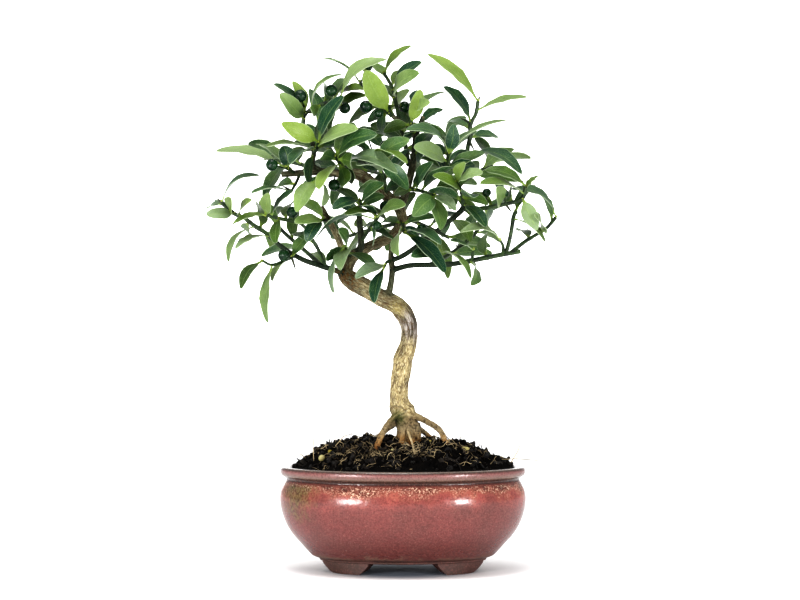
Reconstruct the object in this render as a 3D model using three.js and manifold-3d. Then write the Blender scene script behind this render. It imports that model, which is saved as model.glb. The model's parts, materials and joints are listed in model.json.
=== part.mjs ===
// A dwarf orange bonsai in a glazed oval pot, in millimetres, +Z up, seen from the front along +Y.
// It is one grown tree in a mound of soil: the wood is one solid, and so is each leafy shoot and each fruit.
import * as THREE from 'three';
import { mergeVertices } from 'three/addons/utils/BufferGeometryUtils.js';
import Module from 'manifold-3d';

const wasm = await Module();
wasm.setup();

// Driving dimensions
const GAP = 0.3; // between neighbouring pieces
const POT_INSET = 23; // how much less deep than wide the oval is, on each side
const POT_SEGMENTS = 26;
const UNDERSIDE = 8; // height of the pot's body above the table, on its feet
const POT_FLOOR = 15;
const POT_TOP = 77;
const FOOT = { outer: 57, inner: 50, top: 60, tip: 33, root: 24, endGap: 10 };
const DRAIN = { offset: 27, radius: 8, sides: 10 };
const SCREEN = { side: 26, thickness: 1, holes: 2, hole: 9 };
const SOIL = { edge: 75, rise: 23, roughness: 1.1 };
const BLADE = 0.8; // thickness of a leaf
const LEAF_SHAPE = 0.42; // width of a typical leaf over its length
const WIDEST_LEAF = 17;
const FOLD = 0.24; // how far a leaf's edges stand above its midrib, over half its width
const PETIOLE = 0.7; // half the width of a leaf's stalk
const THORN = { radius: 0.75, sides: 3 };
const EYE = new THREE.Vector3(-2.2, -1800, 200); // where the tree is seen from

const FULL_TURN = 2 * Math.PI;
const GOLDEN_TURN = THREE.MathUtils.degToRad(137.5);
const UP = new THREE.Vector3(0, 0, 1);

const MATERIALS = {
  glaze: new THREE.MeshStandardMaterial({ color: 0x8a5a4e, roughness: 0.3, metalness: 0 }),
  soil: new THREE.MeshStandardMaterial({ color: 0x1d1712, roughness: 0.95, metalness: 0 }),
  plastic: new THREE.MeshStandardMaterial({ color: 0x20201f, roughness: 0.6, metalness: 0 }),
  bark: new THREE.MeshStandardMaterial({ color: 0x8c7452, roughness: 0.85, metalness: 0 }),
  leaf: new THREE.MeshStandardMaterial({ color: 0x5f8a34, roughness: 0.4, metalness: 0 }),
  fruit: new THREE.MeshStandardMaterial({ color: 0x2f5a26, roughness: 0.3, metalness: 0 }),
};

// A point given as it is seen from the eye, against the plane of the trunk (y = 0), and moved to its depth.
function seen(x, z, depth) {
  const nearer = 1 + depth / -EYE.y;
  return new THREE.Vector3(EYE.x + (x - EYE.x) * nearer, depth, EYE.z + (z - EYE.z) * nearer);
}

// Repeatable numbers from 0 to 1, the same in every language.
function seeded(seed) {
  let state = seed;
  return () => {
    state = (state * 1664525 + 1013904223) % 4294967296;
    return state / 4294967296;
  };
}

// Solids

function toSolid(geometry) {
  const bare = new THREE.BufferGeometry();
  bare.setAttribute('position', geometry.getAttribute('position'));
  bare.setIndex(geometry.getIndex());
  const merged = mergeVertices(bare);
  const corners = merged.getIndex().array;
  const kept = [];
  for (let i = 0; i < corners.length; i += 3) {
    const [a, b, c] = corners.slice(i, i + 3);
    if (a !== b && b !== c && c !== a) {
      kept.push(a, b, c);
    }
  }
  const vertProperties = new Float32Array(merged.getAttribute('position').array);
  const triVerts = new Uint32Array(kept);
  return new wasm.Manifold(new wasm.Mesh({ numProp: 3, vertProperties, triVerts }));
}

function toGeometry(solid) {
  const { vertProperties, triVerts } = solid.getMesh();
  const geometry = new THREE.BufferGeometry();
  geometry.setAttribute('position', new THREE.BufferAttribute(vertProperties, 3));
  geometry.setIndex(new THREE.BufferAttribute(triVerts, 1));
  geometry.computeVertexNormals();
  return geometry;
}

function join(solids) {
  return solids.reduce((whole, next) => whole.add(next));
}

function largestPiece(solid) {
  return solid.decompose().reduce((best, next) => (next.volume() > best.volume() ? next : best));
}

// An outline of [x, y] points, extruded up from z = 0.
function prism(outline, height) {
  const shape = new THREE.Shape(outline.map(([x, y]) => new THREE.Vector2(x, y)));
  return new THREE.ExtrudeGeometry(shape, { depth: height, bevelEnabled: false });
}

function circle(radius, sides) {
  return Array.from({ length: sides }, (_, i) => {
    const turn = (i / sides) * FULL_TURN;
    return [radius * Math.cos(turn), radius * Math.sin(turn)];
  });
}

// A profile of [radius, z] points turned round +Z.
function turned(profile, segments) {
  const points = profile.map(([radius, z]) => new THREE.Vector2(radius, z));
  return new THREE.LatheGeometry(points, segments).rotateX(Math.PI / 2);
}

function curveAlong(path) {
  const points = path.map(([x, z, depth]) => seen(x, z, depth));
  return new THREE.CatmullRomCurve3(points, false, 'catmullrom', 0.5);
}

// A round bar, extruded straight in steps and then bent along a curve, so that it can taper on its way.
// Each point of the path is [x, z, depth, radius], as it is seen.
function taperedBar(path, { sides, steps, extra = 0 }) {
  const curve = curveAlong(path);
  const frames = curve.computeFrenetFrames(steps, false);
  const shape = new THREE.Shape(circle(1, sides).map(([x, y]) => new THREE.Vector2(x, y)));
  const bar = new THREE.ExtrudeGeometry(shape, { depth: 1, steps, bevelEnabled: false });
  const position = bar.getAttribute('position');
  const point = new THREE.Vector3();
  for (let i = 0; i < position.count; i += 1) {
    const step = Math.round(position.getZ(i) * steps);
    const share = curve.getUtoTmapping(step / steps) * (path.length - 1);
    const from = Math.min(Math.floor(share), path.length - 2);
    const radius = THREE.MathUtils.lerp(path[from][3], path[from + 1][3], share - from) + extra;
    point.copy(curve.getPointAt(step / steps));
    point.addScaledVector(frames.normals[step], position.getX(i) * radius);
    point.addScaledVector(frames.binormals[step], position.getY(i) * radius);
    position.setXYZ(i, point.x, point.y, point.z);
  }
  return toSolid(bar);
}

// Pot

// Depth of the oval for a given half width: its lips and ledges are as wide at the front as at the sides.
function ovalDepth(halfWidth) {
  return halfWidth - POT_INSET * Math.min(1, halfWidth / FOOT.inner);
}

function toOval(geometry) {
  const position = geometry.getAttribute('position');
  for (let i = 0; i < position.count; i += 1) {
    const halfWidth = Math.hypot(position.getX(i), position.getY(i));
    if (halfWidth > 0) {
      position.setY(i, position.getY(i) * (ovalDepth(halfWidth) / halfWidth));
    }
  }
  return geometry;
}

const POT_OUTSIDE = [
  [FOOT.top, UNDERSIDE], [67, 10.5], [75, 20], [83, 29], [88.5, 40], [91, 52], [90, 61], [86.5, 66.5],
  [89.3, 69.5], [90, 76], [89, POT_TOP],
];
const POT_INSIDE = [[83.5, POT_TOP], [80.5, 67], [83.5, 54], [79, 35], [57, POT_FLOOR]];

function makeFeet() {
  const ring = toSolid(toOval(turned([
    [FOOT.inner, 0], [FOOT.outer, 0], [FOOT.top, UNDERSIDE + 0.5], [FOOT.inner, UNDERSIDE + 0.5],
    [FOOT.inner, 0],
  ], POT_SEGMENTS)));
  const reach = FOOT.top + 2;
  const front = [[FOOT.root, UNDERSIDE + 1], [FOOT.tip, -1], [reach, -1], [reach, UNDERSIDE + 1]];
  const corners = [];
  for (const side of [-1, 1]) {
    for (const end of [0, 1]) {
      const block = prism(side > 0 ? front : front.map(([x, z]) => [-x, z]).reverse(), reach);
      block.rotateX(Math.PI / 2).translate(0, end ? reach + FOOT.endGap : -FOOT.endGap, 0);
      corners.push(toSolid(block));
    }
  }
  return ring.intersect(join(corners));
}

function makePot() {
  const profile = [[0, UNDERSIDE], ...POT_OUTSIDE, ...POT_INSIDE, [0, POT_FLOOR]];
  const body = toSolid(toOval(turned(profile, POT_SEGMENTS)));
  const drains = [-1, 1].map((side) => {
    const hole = prism(circle(DRAIN.radius, DRAIN.sides), POT_FLOOR);
    return toSolid(hole.translate(side * DRAIN.offset, 0, UNDERSIDE / 2));
  });
  return body.add(makeFeet()).subtract(join(drains));
}

// Drainage screens

function makeScreen(side) {
  const sheet = toSolid(new THREE.BoxGeometry(SCREEN.side, SCREEN.side, SCREEN.thickness));
  const pitch = SCREEN.side / (SCREEN.holes + 0.4);
  const holes = [];
  for (let row = 0; row < SCREEN.holes; row += 1) {
    for (let column = 0; column < SCREEN.holes; column += 1) {
      const x = (column - (SCREEN.holes - 1) / 2) * pitch;
      const y = (row - (SCREEN.holes - 1) / 2) * pitch;
      const hole = new THREE.BoxGeometry(SCREEN.hole, SCREEN.hole, SCREEN.side);
      holes.push(toSolid(hole.translate(x, y, 0)));
    }
  }
  const height = POT_FLOOR + GAP + SCREEN.thickness / 2;
  return sheet.subtract(join(holes)).translate(side * DRAIN.offset, 0, height);
}

// Wood: each path is [x, z, depth, radius] from its root end, as it is seen from the front.

const TRUNK = [
  [3.5, 60, 0, 5], [3.5, 84, 0, 8.5], [3.5, 105, 0, 8.4], [0.5, 116, 0, 8.5], [-2, 122, 0, 7.6],
  [-3, 130, 0, 6.9], [-2.3, 140, 0, 6.8], [-0.5, 150, 0, 7.3], [0, 156, 0, 7], [3.3, 165, 0, 6.7],
  [4.8, 175, 1, 6.1],
  [4, 183, 1, 6.4], [0, 191, 1, 7], [-6, 197, 0, 6.6], [-15, 201, -1, 6.5], [-25, 207, -1, 6.8],
  [-35, 213, 0, 7], [-42, 218, 2, 6], [-44, 226, 5, 4.6],
];

const ROOTS = {
  left: [[-2, 117, -4, 3.2], [-8, 112, -8, 2.4], [-13, 105, -11, 2.1], [-20, 90, -15, 1.9],
    [-26, 74, -18, 1.4]],
  right: [[8, 115, -3, 3], [12, 113, -6, 2.4], [18, 110, -10, 2.3], [27, 104, -14, 2.1],
    [32, 94, -18, 2], [38, 77, -22, 1.4]],
  middle: [[0, 108, -6, 2.6], [0, 100, -10, 2.2], [-1, 93, -12, 2], [-3, 76, -14, 1.5]],
  shoulder: [[9, 109, -3, 4.5], [10, 100, -4, 4.2], [11, 90, -4, 3.4], [14, 70, -6, 2]],
  thin: [[4, 105, -7, 1.1], [8, 96, -10, 0.9], [9, 84, -11, 0.8]],
  backLeft: [[-2, 111, 5, 3.5], [-12, 104, 14, 2.6], [-22, 94, 22, 2.2], [-30, 76, 28, 1.5]],
  backRight: [[6, 109, 6, 3.5], [16, 102, 15, 2.6], [25, 92, 24, 2.2], [32, 74, 30, 1.5]],
};

const LIMBS = {
  main: [[-43, 220, 3, 5], [-38, 231, 6, 4.6], [-24, 240, 10, 4], [-10, 246, 12, 3.8],
    [-1, 257, 12, 4], [-3, 268, 11, 4.2], [-12, 277, 8, 4.3], [-21, 285, 5, 4.4], [-33, 293, 3, 4.2],
    [-44, 293, 1, 3.3], [-60, 295, -1, 2.5], [-76, 294, -3, 2.2], [-90, 293, -5, 2]],
  upright: [[-35, 233, 7, 2.6], [-31, 241, 3, 2.2], [-32, 256, 0, 2], [-33, 270, -2, 1.9]],
  stub: [[-43, 224, 3, 2.9], [-44, 234, 0, 2.4], [-50, 250, -4, 2.2], [-57, 262, -7, 2.1],
    [-61, 269, -8, 2.1]],
  leader: [[-3, 267, 11, 3.4], [3, 282, 10, 2.8], [7, 300, 8, 2.4], [9, 314, 6, 2], [8, 324, 4, 1.7],
    [0, 331, 2, 1.5], [-8, 336, 1, 1.3]],
  cutTwig: [[7, 300, 8, 1.7], [10, 315, 0, 1.4], [11, 325, -3, 1.3], [15, 336, -5, 1.3]],
  back: [[-10, 246, 12, 3.2], [-5, 252, 24, 2.8], [-1, 262, 38, 2.4], [-5, 278, 50, 2], [-8, 290, 55, 1.6]],
  right: [[-1, 257, 12, 3.2], [14, 265, 22, 2.6], [30, 275, 28, 2.3], [43, 287, 24, 2], [47, 300, 14, 1.7]],
  shoot: [[-12, 199, 0, 2.8], [-9, 212, -3, 2.1], [-8, 222, -4, 2], [-9, 232, -3, 1.8], [-8, 243, 0, 1.6]],
  low: [[-8.5, 222, -4, 1.9], [5, 225.5, -6, 1.7], [20, 226, -8, 1.7], [35, 226.5, -9, 1.7],
    [45, 228, -10, 1.6]],
  diagonal: [[-9, 229, -3, 1.7], [2, 234, -8, 1.6], [20, 247, -14, 1.6], [30, 255, -15, 1.6],
    [42, 265, -14, 1.8], [46, 270.5, -13, 2]],
  lowLeft: [[-44, 220, 3, 2.6], [-50, 222, -2, 1.9], [-60, 225, -5, 1.8], [-72, 229, -8, 1.7],
    [-80, 233, -9, 1.6], [-88, 238, -10, 1.5], [-95, 244, -10, 1.4]],
  upLeft: [[-60, 295, -1, 2.2], [-67, 300, -3, 1.7], [-66, 309, -5, 1.6], [-68, 320, -6, 1.4],
    [-74, 331, -7, 1.2]],
};

function barStyle(path) {
  const thickest = Math.max(...path.map((point) => point[3]));
  if (thickest > 6) {
    return { sides: 8, steps: 19 };
  }
  return thickest > 3.6 ? { sides: 6, steps: path.length + 2 } : { sides: 5, steps: path.length - 1 };
}

const woodPaths = [TRUNK, ...Object.values(ROOTS), ...Object.values(LIMBS)];
const woodBars = woodPaths.map((path) => taperedBar(path, barStyle(path)));
const woodWithGap = join(woodPaths.map((path) => taperedBar(path, { ...barStyle(path), extra: GAP + 0.1 })));

// Soil

function soilHeight(x, y) {
  const across = Math.hypot(x / POT_INSIDE[0][0], y / ovalDepth(POT_INSIDE[0][0]));
  const ripple = Math.sin(x * 0.31 + 1.3) * Math.cos(y * 0.27 - 0.4) + 0.7 * Math.sin(x * 0.17 - y * 0.23);
  return SOIL.edge + SOIL.rise * (1 - Math.min(1, across) ** 4) + SOIL.roughness * ripple * (1 - across ** 6);
}

function makeSoil() {
  const clearance = 2.5 * GAP; // both walls have flats, whose middles are nearer the axis
  const wall = POT_INSIDE.slice(1).reverse().map(([radius, z]) => [radius - clearance, z]);
  wall[0][1] += GAP;
  const edge = POT_INSIDE[1][0] - clearance + 1;
  const rings = [1, 0.86, 0.62, 0.33].map((share) => [edge * share, SOIL.edge]);
  const geometry = toOval(turned([[0, POT_FLOOR + GAP], ...wall, ...rings, [0, SOIL.edge]], POT_SEGMENTS));
  const position = geometry.getAttribute('position');
  for (let i = 0; i < position.count; i += 1) {
    if (position.getZ(i) === SOIL.edge) {
      position.setZ(i, soilHeight(position.getX(i), position.getY(i)));
    }
  }
  const pockets = [-1, 1].map((side) => {
    const width = SCREEN.side + 2 * GAP;
    const height = 2 * (SCREEN.thickness + GAP);
    const pocket = new THREE.BoxGeometry(width, width, height);
    return toSolid(pocket.translate(side * DRAIN.offset, 0, POT_FLOOR + GAP));
  });
  return largestPiece(toSolid(geometry).subtract(join(pockets)).subtract(woodWithGap));
}

const group = new THREE.Group();

function addPiece(name, solid, material) {
  const mesh = new THREE.Mesh(toGeometry(solid), material);
  mesh.name = name;
  group.add(mesh);
}

addPiece('pot', makePot(), MATERIALS.glaze);
addPiece('drainage_screen_left', makeScreen(-1), MATERIALS.plastic);
addPiece('drainage_screen_right', makeScreen(1), MATERIALS.plastic);
addPiece('soil', makeSoil(), MATERIALS.soil);
addPiece('trunk_and_limbs', join(woodBars), MATERIALS.bark);

// Leafy shoots
// Each shoot has one or more green stems, a path of [x, z, depth] each. A leaf is [where on its stem
// from 0 to 1, x, z and depth of its tip, seen width, arch over length]. A thorn is [where on its stem,
// x, z and depth of its tip]. more is the number of leaves added by rule, where the front shows none.

const SHOOTS = {
  shoot_crown_left: [
    { radius: 1.2, path: [[-74, 331, -7], [-72, 338, -9], [-62, 344, -11], [-46, 350, -12]],
      leaves: [[0.05, -96, 360, -18, 5, 0.15], [0.15, -91, 352, -28, 12, 0.1], [0.3, -82, 364, 6, 8, 0.12],
        [0.5, -45, 367, -20, 4, 0.2], [1, -12, 378, -24, 9, 0.2], [0.75, -60, 364, 20, 8, 0.1],
        [0.9, -38, 366, 26, 9, 0.1]],
      thorns: [[0.4, -66, 338, -15]] },
  ],
  shoot_crown_tip: [
    { radius: 1.2, path: [[-8, 336, 1], [-17, 345, -2], [-26, 355, -4], [-32, 361, -5]],
      leaves: [[1, -60, 379, -14, 5, 0.12], [0.1, -28, 370, -26, 17, 0.05]] },
  ],
  shoot_crown_top: [
    { radius: 1.2, path: [[-3, 333.5, 2], [-5, 345, 7], [-8, 357, 9], [-14, 368, 9]],
      leaves: [[1, 9, 391, 2, 8, 0.12], [0.6, 14, 376, -12, 8, 0.12], [0.45, 12, 367, -22, 5, 0.15],
        [0.85, -30, 376, 32, 9, 0.1], [0.35, -22, 362, 34, 9, 0.1], [0.7, 6, 372, 36, 9, 0.1]] },
  ],
  shoot_crown_bright: [
    { radius: 1.1, path: [[8, 324, 4], [6, 329, -4], [7, 335, -9], [11, 341, -12]],
      leaves: [[0.45, 13, 355, -16, 11, 0.06], [1, 20, 346, -34, 6, 0.1], [0.8, 34, 356, 6, 7, 0.1]],
      thorns: [[0.66, 2, 338, -12]] },
  ],
  shoot_right_top: [
    { radius: 1.3, path: [[47, 300, 14], [48, 313, 8], [50, 322, 5], [50, 330, 3], [54, 338, 1],
      [55.5, 347, 0]],
      leaves: [[1, 18, 382, -12, 9, 0.08], [0.62, 30, 358, -10, 8, 0.1], [0.85, 92, 350, -10, 6, 0.06],
        [0.1, 88, 293, -16, 9, 0.18], [0.35, 74, 320, 26, 8, 0.1], [0.5, 30, 332, 34, 9, 0.1]],
      thorns: [[0.62, 42, 335, 1], [0.3, 53, 310, 3], [1, 57, 351, 0]] },
  ],
  shoot_right_middle: [
    { radius: 1.2, path: [[30, 275, 28], [31, 290, 6], [32, 300, -8], [34, 309, -16]],
      leaves: [[0.93, 77, 333, -30, 3, 0.1], [1, 38, 330, -26, 11, 0.1], [0.97, 2, 326, -34, 6, 0.2],
        [0.75, 8, 313, -38, 13, 0.08], [0.5, 60, 308, 0, 9, 0.1], [0.3, 56, 296, 34, 9, 0.1]] },
  ],
  shoot_right_knot: [
    { radius: 1.2, path: [[45, 269, -13], [44, 275, -17], [43, 281, -20], [40, 288, -23]],
      leaves: [[1, 46, 302, -40, 8, 0.08], [0.95, 59, 294, -44, 7, 0.1], [0.1, 61, 254, -34, 9, 0.1],
        [0.6, 22, 292, -40, 8, 0.1]],
      thorns: [[0.4, 50, 278, -22]] },
  ],
  shoot_right_dark: [
    { radius: 1.3, path: [[45, 267, -13], [60, 268, -18], [76, 271, -22], [88, 275, -24], [91, 284, -27]],
      leaves: [[1, 61, 296, -34, 8, 0.12], [0.85, 57, 286, -50, 5, 0.1], [0.42, 69, 283, -54, 10, 0.06],
        [0.76, 100, 252, -40, 11, 0.05], [0.9, 100, 292, 2, 8, 0.1], [0.6, 80, 282, 14, 8, 0.1],
        [0.25, 62, 256, 14, 8, 0.1]],
      thorns: [[0.5, 81, 264, -25], [0.95, 88, 289, -29]] },
  ],
  shoot_right_low: [
    { radius: 1.6, path: [[45, 228, -10], [55, 230, -10], [70, 233, -10], [87, 236, -10]], blunt: true,
      leaves: [[0.15, 50, 211, -36, 5, 0.15], [0.5, 62, 252, 18, 9, 0.1]],
      thorns: [[0.2, 55, 225.5, -12]] },
    { radius: 1, path: [[51, 229, -10], [51.5, 233, -15], [52, 237, -18]],
      leaves: [[1, 35, 244, -34, 3, 0.05]] },
    { radius: 1, path: [[74, 234, -10], [74, 240, -17], [72, 244, -22]],
      leaves: [[1, 42, 250, -36, 6, 0.2]] },
    { radius: 1.2, path: [[76, 234.5, -10], [78, 241, -8], [80, 250, -7], [82, 262, -8], [84, 266, -8]],
      blunt: true,
      leaves: [[0.7, 105, 243, -24, 4, 0.1], [0.9, 100, 288, 10, 8, 0.1]] },
    { radius: 1.2, path: [[79, 234.5, -10], [90, 243, -6], [98, 248, -3], [106, 253, -1], [113, 261, 0]],
      leaves: [[1, 80, 282, -14, 6, 0.2], [0.6, 98, 262, -38, 7, 0.1], [0.35, 84, 252, 26, 8, 0.1],
        [0.9, 96, 286, 24, 8, 0.1]] },
  ],
  shoot_low_droop: [
    { radius: 1, path: [[28, 226.5, -9], [27, 231, -15], [26, 236, -20]],
      leaves: [[1, 50, 216, -40, 4, 0.15], [0.7, 6, 232, -38, 9, 0.1], [0.5, 12, 238, 16, 9, 0.1]] },
  ],
  shoot_centre_right: [
    { radius: 1.2, path: [[-1, 257, 12], [0, 255, -4], [1, 250, -24]],
      leaves: [[1, 31, 220, -38, 11, 0.1], [0.9, 28, 241, -50, 7, 0.1], [0.7, -3, 233, -44, 6, 0.1],
        [0.3, 30, 262, 2, 9, 0.1]] },
  ],
  shoot_centre_upper: [
    { radius: 1.2, path: [[3, 282, 10], [12, 281, -6], [24, 277, -22]],
      leaves: [[1, 7, 262, -44, 15, 0.08], [0.95, 39, 266, -40, 8, 0.1], [0.7, 28, 252, -44, 11, 0.08],
        [0.4, 22, 302, -24, 8, 0.1], [0.2, 26, 296, 26, 9, 0.1]] },
  ],
  shoot_middle_broad: [
    { radius: 1.3, path: [[-44, 293, 1], [-46, 299, -10], [-50, 307, -20]],
      leaves: [[1, -36, 331, -30, 15, 0.08], [0.85, -19, 322, -40, 7, 0.15], [0.4, -4, 293, -32, 4, 0.2],
        [0.6, -62, 282, -40, 8, 0.1], [0.3, -54, 320, 14, 9, 0.1]] },
  ],
  shoot_middle_rising: [
    { radius: 1.2, path: [[-12, 277, 8], [-15, 293, -10], [-24, 309, -24]],
      leaves: [[1, 3, 300, -44, 8, 0.1], [0.8, 5, 319, -36, 10, 0.1], [0.5, -34, 300, -46, 7, 0.1]] },
  ],
  shoot_left_long: [
    { radius: 1.1, path: [[-80, 293.5, -4], [-83, 296, -8], [-87, 298, -12]],
      leaves: [[1, -139, 310, -22, 7, 0.1], [0.8, -90, 316, -42, 11, 0.08], [0.5, -112, 318, 18, 9, 0.1]] },
  ],
  shoot_left_broad: [
    { radius: 1.2, path: [[-66, 309, -5], [-64, 312, -12], [-62.5, 317, -18]],
      leaves: [[1, -90, 331, -34, 14, 0.08], [0.95, -44, 351, -26, 11, 0.1], [0.6, -33, 326, -36, 5, 0.1],
        [0.3, -101, 313.5, -26, 3, 0.08], [0.5, -83, 301, -42, 6, 0.1]] },
  ],
  shoot_left_olive: [
    { radius: 1.2, path: [[-60, 295, -1], [-62, 292, -12], [-64, 289, -20]],
      leaves: [[1, -79, 265, -38, 13, 0.1], [0.6, -60, 270, -40, 7, 0.1]] },
  ],
  shoot_left_thin: [
    { radius: 1, path: [[-76, 294, -3], [-79, 287, -9], [-83, 280, -14]],
      leaves: [[1, -112, 279, -32, 3, 0.1], [0.6, -96, 282, 16, 8, 0.1]],
      thorns: [[0.95, -90, 285, -16]] },
  ],
  shoot_far_left: [
    { radius: 1.4, path: [[-95, 244, -10], [-102, 250, -10], [-110, 255, -9], [-118, 261, -8],
      [-125, 264, -8], [-134, 272, -9]],
    leaves: [[0.8, -145.5, 263, -22, 9, 0.08], [0.86, -127, 275, -38, 9, 0.05], [0.97, -145, 268, 14, 6, 0.1],
      [0.68, -112, 274, -32, 5, 0.1], [1, -106, 292, -16, 3, 0.2], [0.38, -129, 228, -24, 5, 0.18],
      [0.1, -124, 238, -30, 5, 0.1], [0.5, -112, 248, 26, 9, 0.1], [0.3, -108, 274, 24, 9, 0.1]],
    thorns: [[1, -138, 275.5, -9], [0.6, -117, 265, -9]] },
  ],
  shoot_low_left: [
    { radius: 1, path: [[-80, 233, -9], [-88, 229, -14], [-97, 226, -18], [-104, 229, -20]],
      leaves: [[1, -120, 208, -32, 8, 0.12], [0.65, -100, 183, -26, 8, 0.08], [0.2, -98, 214, -38, 4, 0.1],
        [0.1, -66, 250, 12, 8, 0.1]],
      thorns: [[0.1, -79, 221, -10]] },
  ],
  shoot_left_climbing: [
    { radius: 1.1, path: [[-57, 224.5, -4], [-62, 236, -11], [-66, 243, -14], [-75, 256, -16],
      [-90, 260, -18], [-101, 263, -19]],
    leaves: [[0.82, -94, 242, -34, 8, 0.1], [1, -99, 279, -42, 10, 0.05], [0.93, -81, 281, -28, 4, 0.1],
      [0.75, -80, 274, 14, 8, 0.1], [1, -126, 256, -22, 5, 0.12], [0.35, -84, 250, 10, 8, 0.1]] },
  ],
  shoot_centre_left: [
    { radius: 1, path: [[-33, 266, -1], [-31, 270, -10], [-32, 274, -16]],
      leaves: [[1, -52, 267, -36, 8, 0.1], [0.7, -14, 286, -34, 8, 0.1], [0.4, -54, 284, 14, 9, 0.1]] },
  ],
  shoot_centre_long: [
    { radius: 1.1, path: [[-31, 243, 3], [-24, 254, -10], [-18, 262, -20]],
      leaves: [[1, -43, 263, -36, 4, 0.1], [0.85, -66, 244, -36, 4, 0.2], [0.9, 2, 270, -46, 8, 0.1],
        [0.4, -2, 240, 12, 9, 0.1]] },
  ],
  shoot_centre_stub: [
    { radius: 1, path: [[-55, 259, -6], [-58, 259, -14], [-60, 259, -19]],
      leaves: [[1, -71, 243, -40, 11, 0.08], [0.85, -80, 257, -38, 8, 0.1]] },
  ],
  shoot_centre_pendant: [
    { radius: 1.1, path: [[-38, 231, 6], [-41, 236, -6], [-43, 240, -13]],
      leaves: [[1, -51, 205, -22, 4, 0.12], [0.85, -48, 252, -40, 6, 0.1], [0.6, -46, 222, -36, 8, 0.1],
        [0.4, -20, 222, -18, 7, 0.1]] },
  ],
  shoot_centre_grey: [
    { radius: 1, path: [[-9, 229, -3.5], [-12, 228, -12], [-14, 224, -18]],
      leaves: [[0.8, -35, 216, -38, 9, 0.1], [1, -21, 198, -34, 9, 0.08]] },
  ],
  shoot_back_left: [
    { radius: 1.4, path: [[-60, 295, 0], [-78, 301, 22], [-96, 304, 40]], more: 6, leaves: [] },
  ],
  shoot_back_left_low: [
    { radius: 1.3, path: [[-60, 225, -5], [-72, 236, 20], [-88, 250, 42], [-98, 262, 52]], more: 6,
      leaves: [] },
  ],
  shoot_back_crown: [
    { radius: 1.4, path: [[4, 300, 9], [0, 322, 30], [-10, 342, 46]], more: 6, leaves: [] },
  ],
  shoot_back_crown_left: [
    { radius: 1.4, path: [[-36, 292, 3], [-50, 306, 28], [-60, 324, 44], [-64, 340, 50]], more: 6,
      leaves: [] },
  ],
  shoot_back_middle: [
    { radius: 1.4, path: [[-8, 290, 55], [-12, 302, 64], [-14, 318, 68]], more: 6, leaves: [] },
    { radius: 1.2, path: [[-8, 291, 56], [-28, 296, 64], [-48, 296, 68]], more: 5, leaves: [] },
  ],
  shoot_back_low: [
    { radius: 1.3, path: [[-3, 257, 31], [-24, 252, 46], [-44, 246, 56]], more: 6, leaves: [] },
  ],
  shoot_back_right_low: [
    { radius: 1.3, path: [[-1, 262, 38], [18, 254, 50], [34, 246, 60]], more: 6, leaves: [] },
  ],
  shoot_back_right: [
    { radius: 1.4, path: [[44, 288, 23], [58, 296, 42], [66, 300, 58]], more: 6, leaves: [] },
  ],
  shoot_back_right_top: [
    { radius: 1.3, path: [[30, 275, 28], [34, 300, 52], [30, 322, 62]], more: 6, leaves: [] },
  ],
  shoot_back_right_side: [
    { radius: 1.3, path: [[20, 226, -8], [38, 236, 22], [54, 250, 40], [60, 264, 50]], more: 6, leaves: [] },
  ],
};

// Fruit: [x, z and depth of its middle, its diameter, x, z and depth of where its stalk begins].
const FRUITS = [
  [-76, 351, -19, 9.5, -73, 343, -11],
  [-53, 355, -17, 9, -54, 347, -12],
  [-27, 373, 3, 9, -31, 361, -5],
  [-27.5, 343, -9, 9.5, -19, 347, -3],
  [-43, 342, -8, 8.5, -51, 348.5, -12],
  [-18, 338, -8, 7, -12, 340, 0],
  [1, 343, 12, 8.5, -5, 345, 7],
  [-97, 300, -26, 9, -84, 296.5, -9.5],
  [-27, 323, -25, 9.5, -20, 303.5, -18.5],
  [-12.5, 314, -18, 9, -17, 297, -12.5],
  [-51, 285, -8, 9, -50, 294, 0],
  [-88, 233, -19, 9, -86, 237, -10],
  [-82, 265, -24, 8.5, -81, 258, -16],
  [-19, 255, -26, 6.5, -20, 260, -17],
  [-13, 269, -2, 9, -11, 277, 8],
  [62, 279.5, -22, 6.5, 61, 268, -18],
  [75, 279, -18, 6.5, 76, 271, -22],
  [14, 252, -22, 8.5, 21, 248, -14],
];

// Leaves
// Rows of a leaf from its stalk to its tip: [share of its length, share of its width].
const LEAF_ROWS = [[0, 0], [0.16, 0], [0.42, 0.95], [0.74, 0.8], [1, 0]];
const BLADE_START = 0.3; // the share of a leaf's length below which it may touch its own shoot
const PROBE_MARGIN = 0.35;
// What a leaf may do to keep clear of its neighbours: its tip moves in depth and its blade rolls.
const SHIFTS = [0, -7, 7, -14, 14, -21, 21, -28, 28];
const ROLLS = [0, 0.35, -0.35];
const POSES = SHIFTS.flatMap((shift) => ROLLS.map((roll) => ({ shift, roll })));
const VIEW = new THREE.Vector3(0, 1, 0);

function listedLeaf(stem, [share, x, z, depth, seenWidth, arch]) {
  const base = stem.curve.getPoint(share);
  const tip = seen(x, z, depth);
  const trueWidth = Math.min(WIDEST_LEAF, LEAF_SHAPE * base.distanceTo(tip));
  const width = Math.max(trueWidth, Math.abs(seenWidth));
  return { base, tip, width, turn: Math.asin(seenWidth / width), arch };
}

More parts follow.
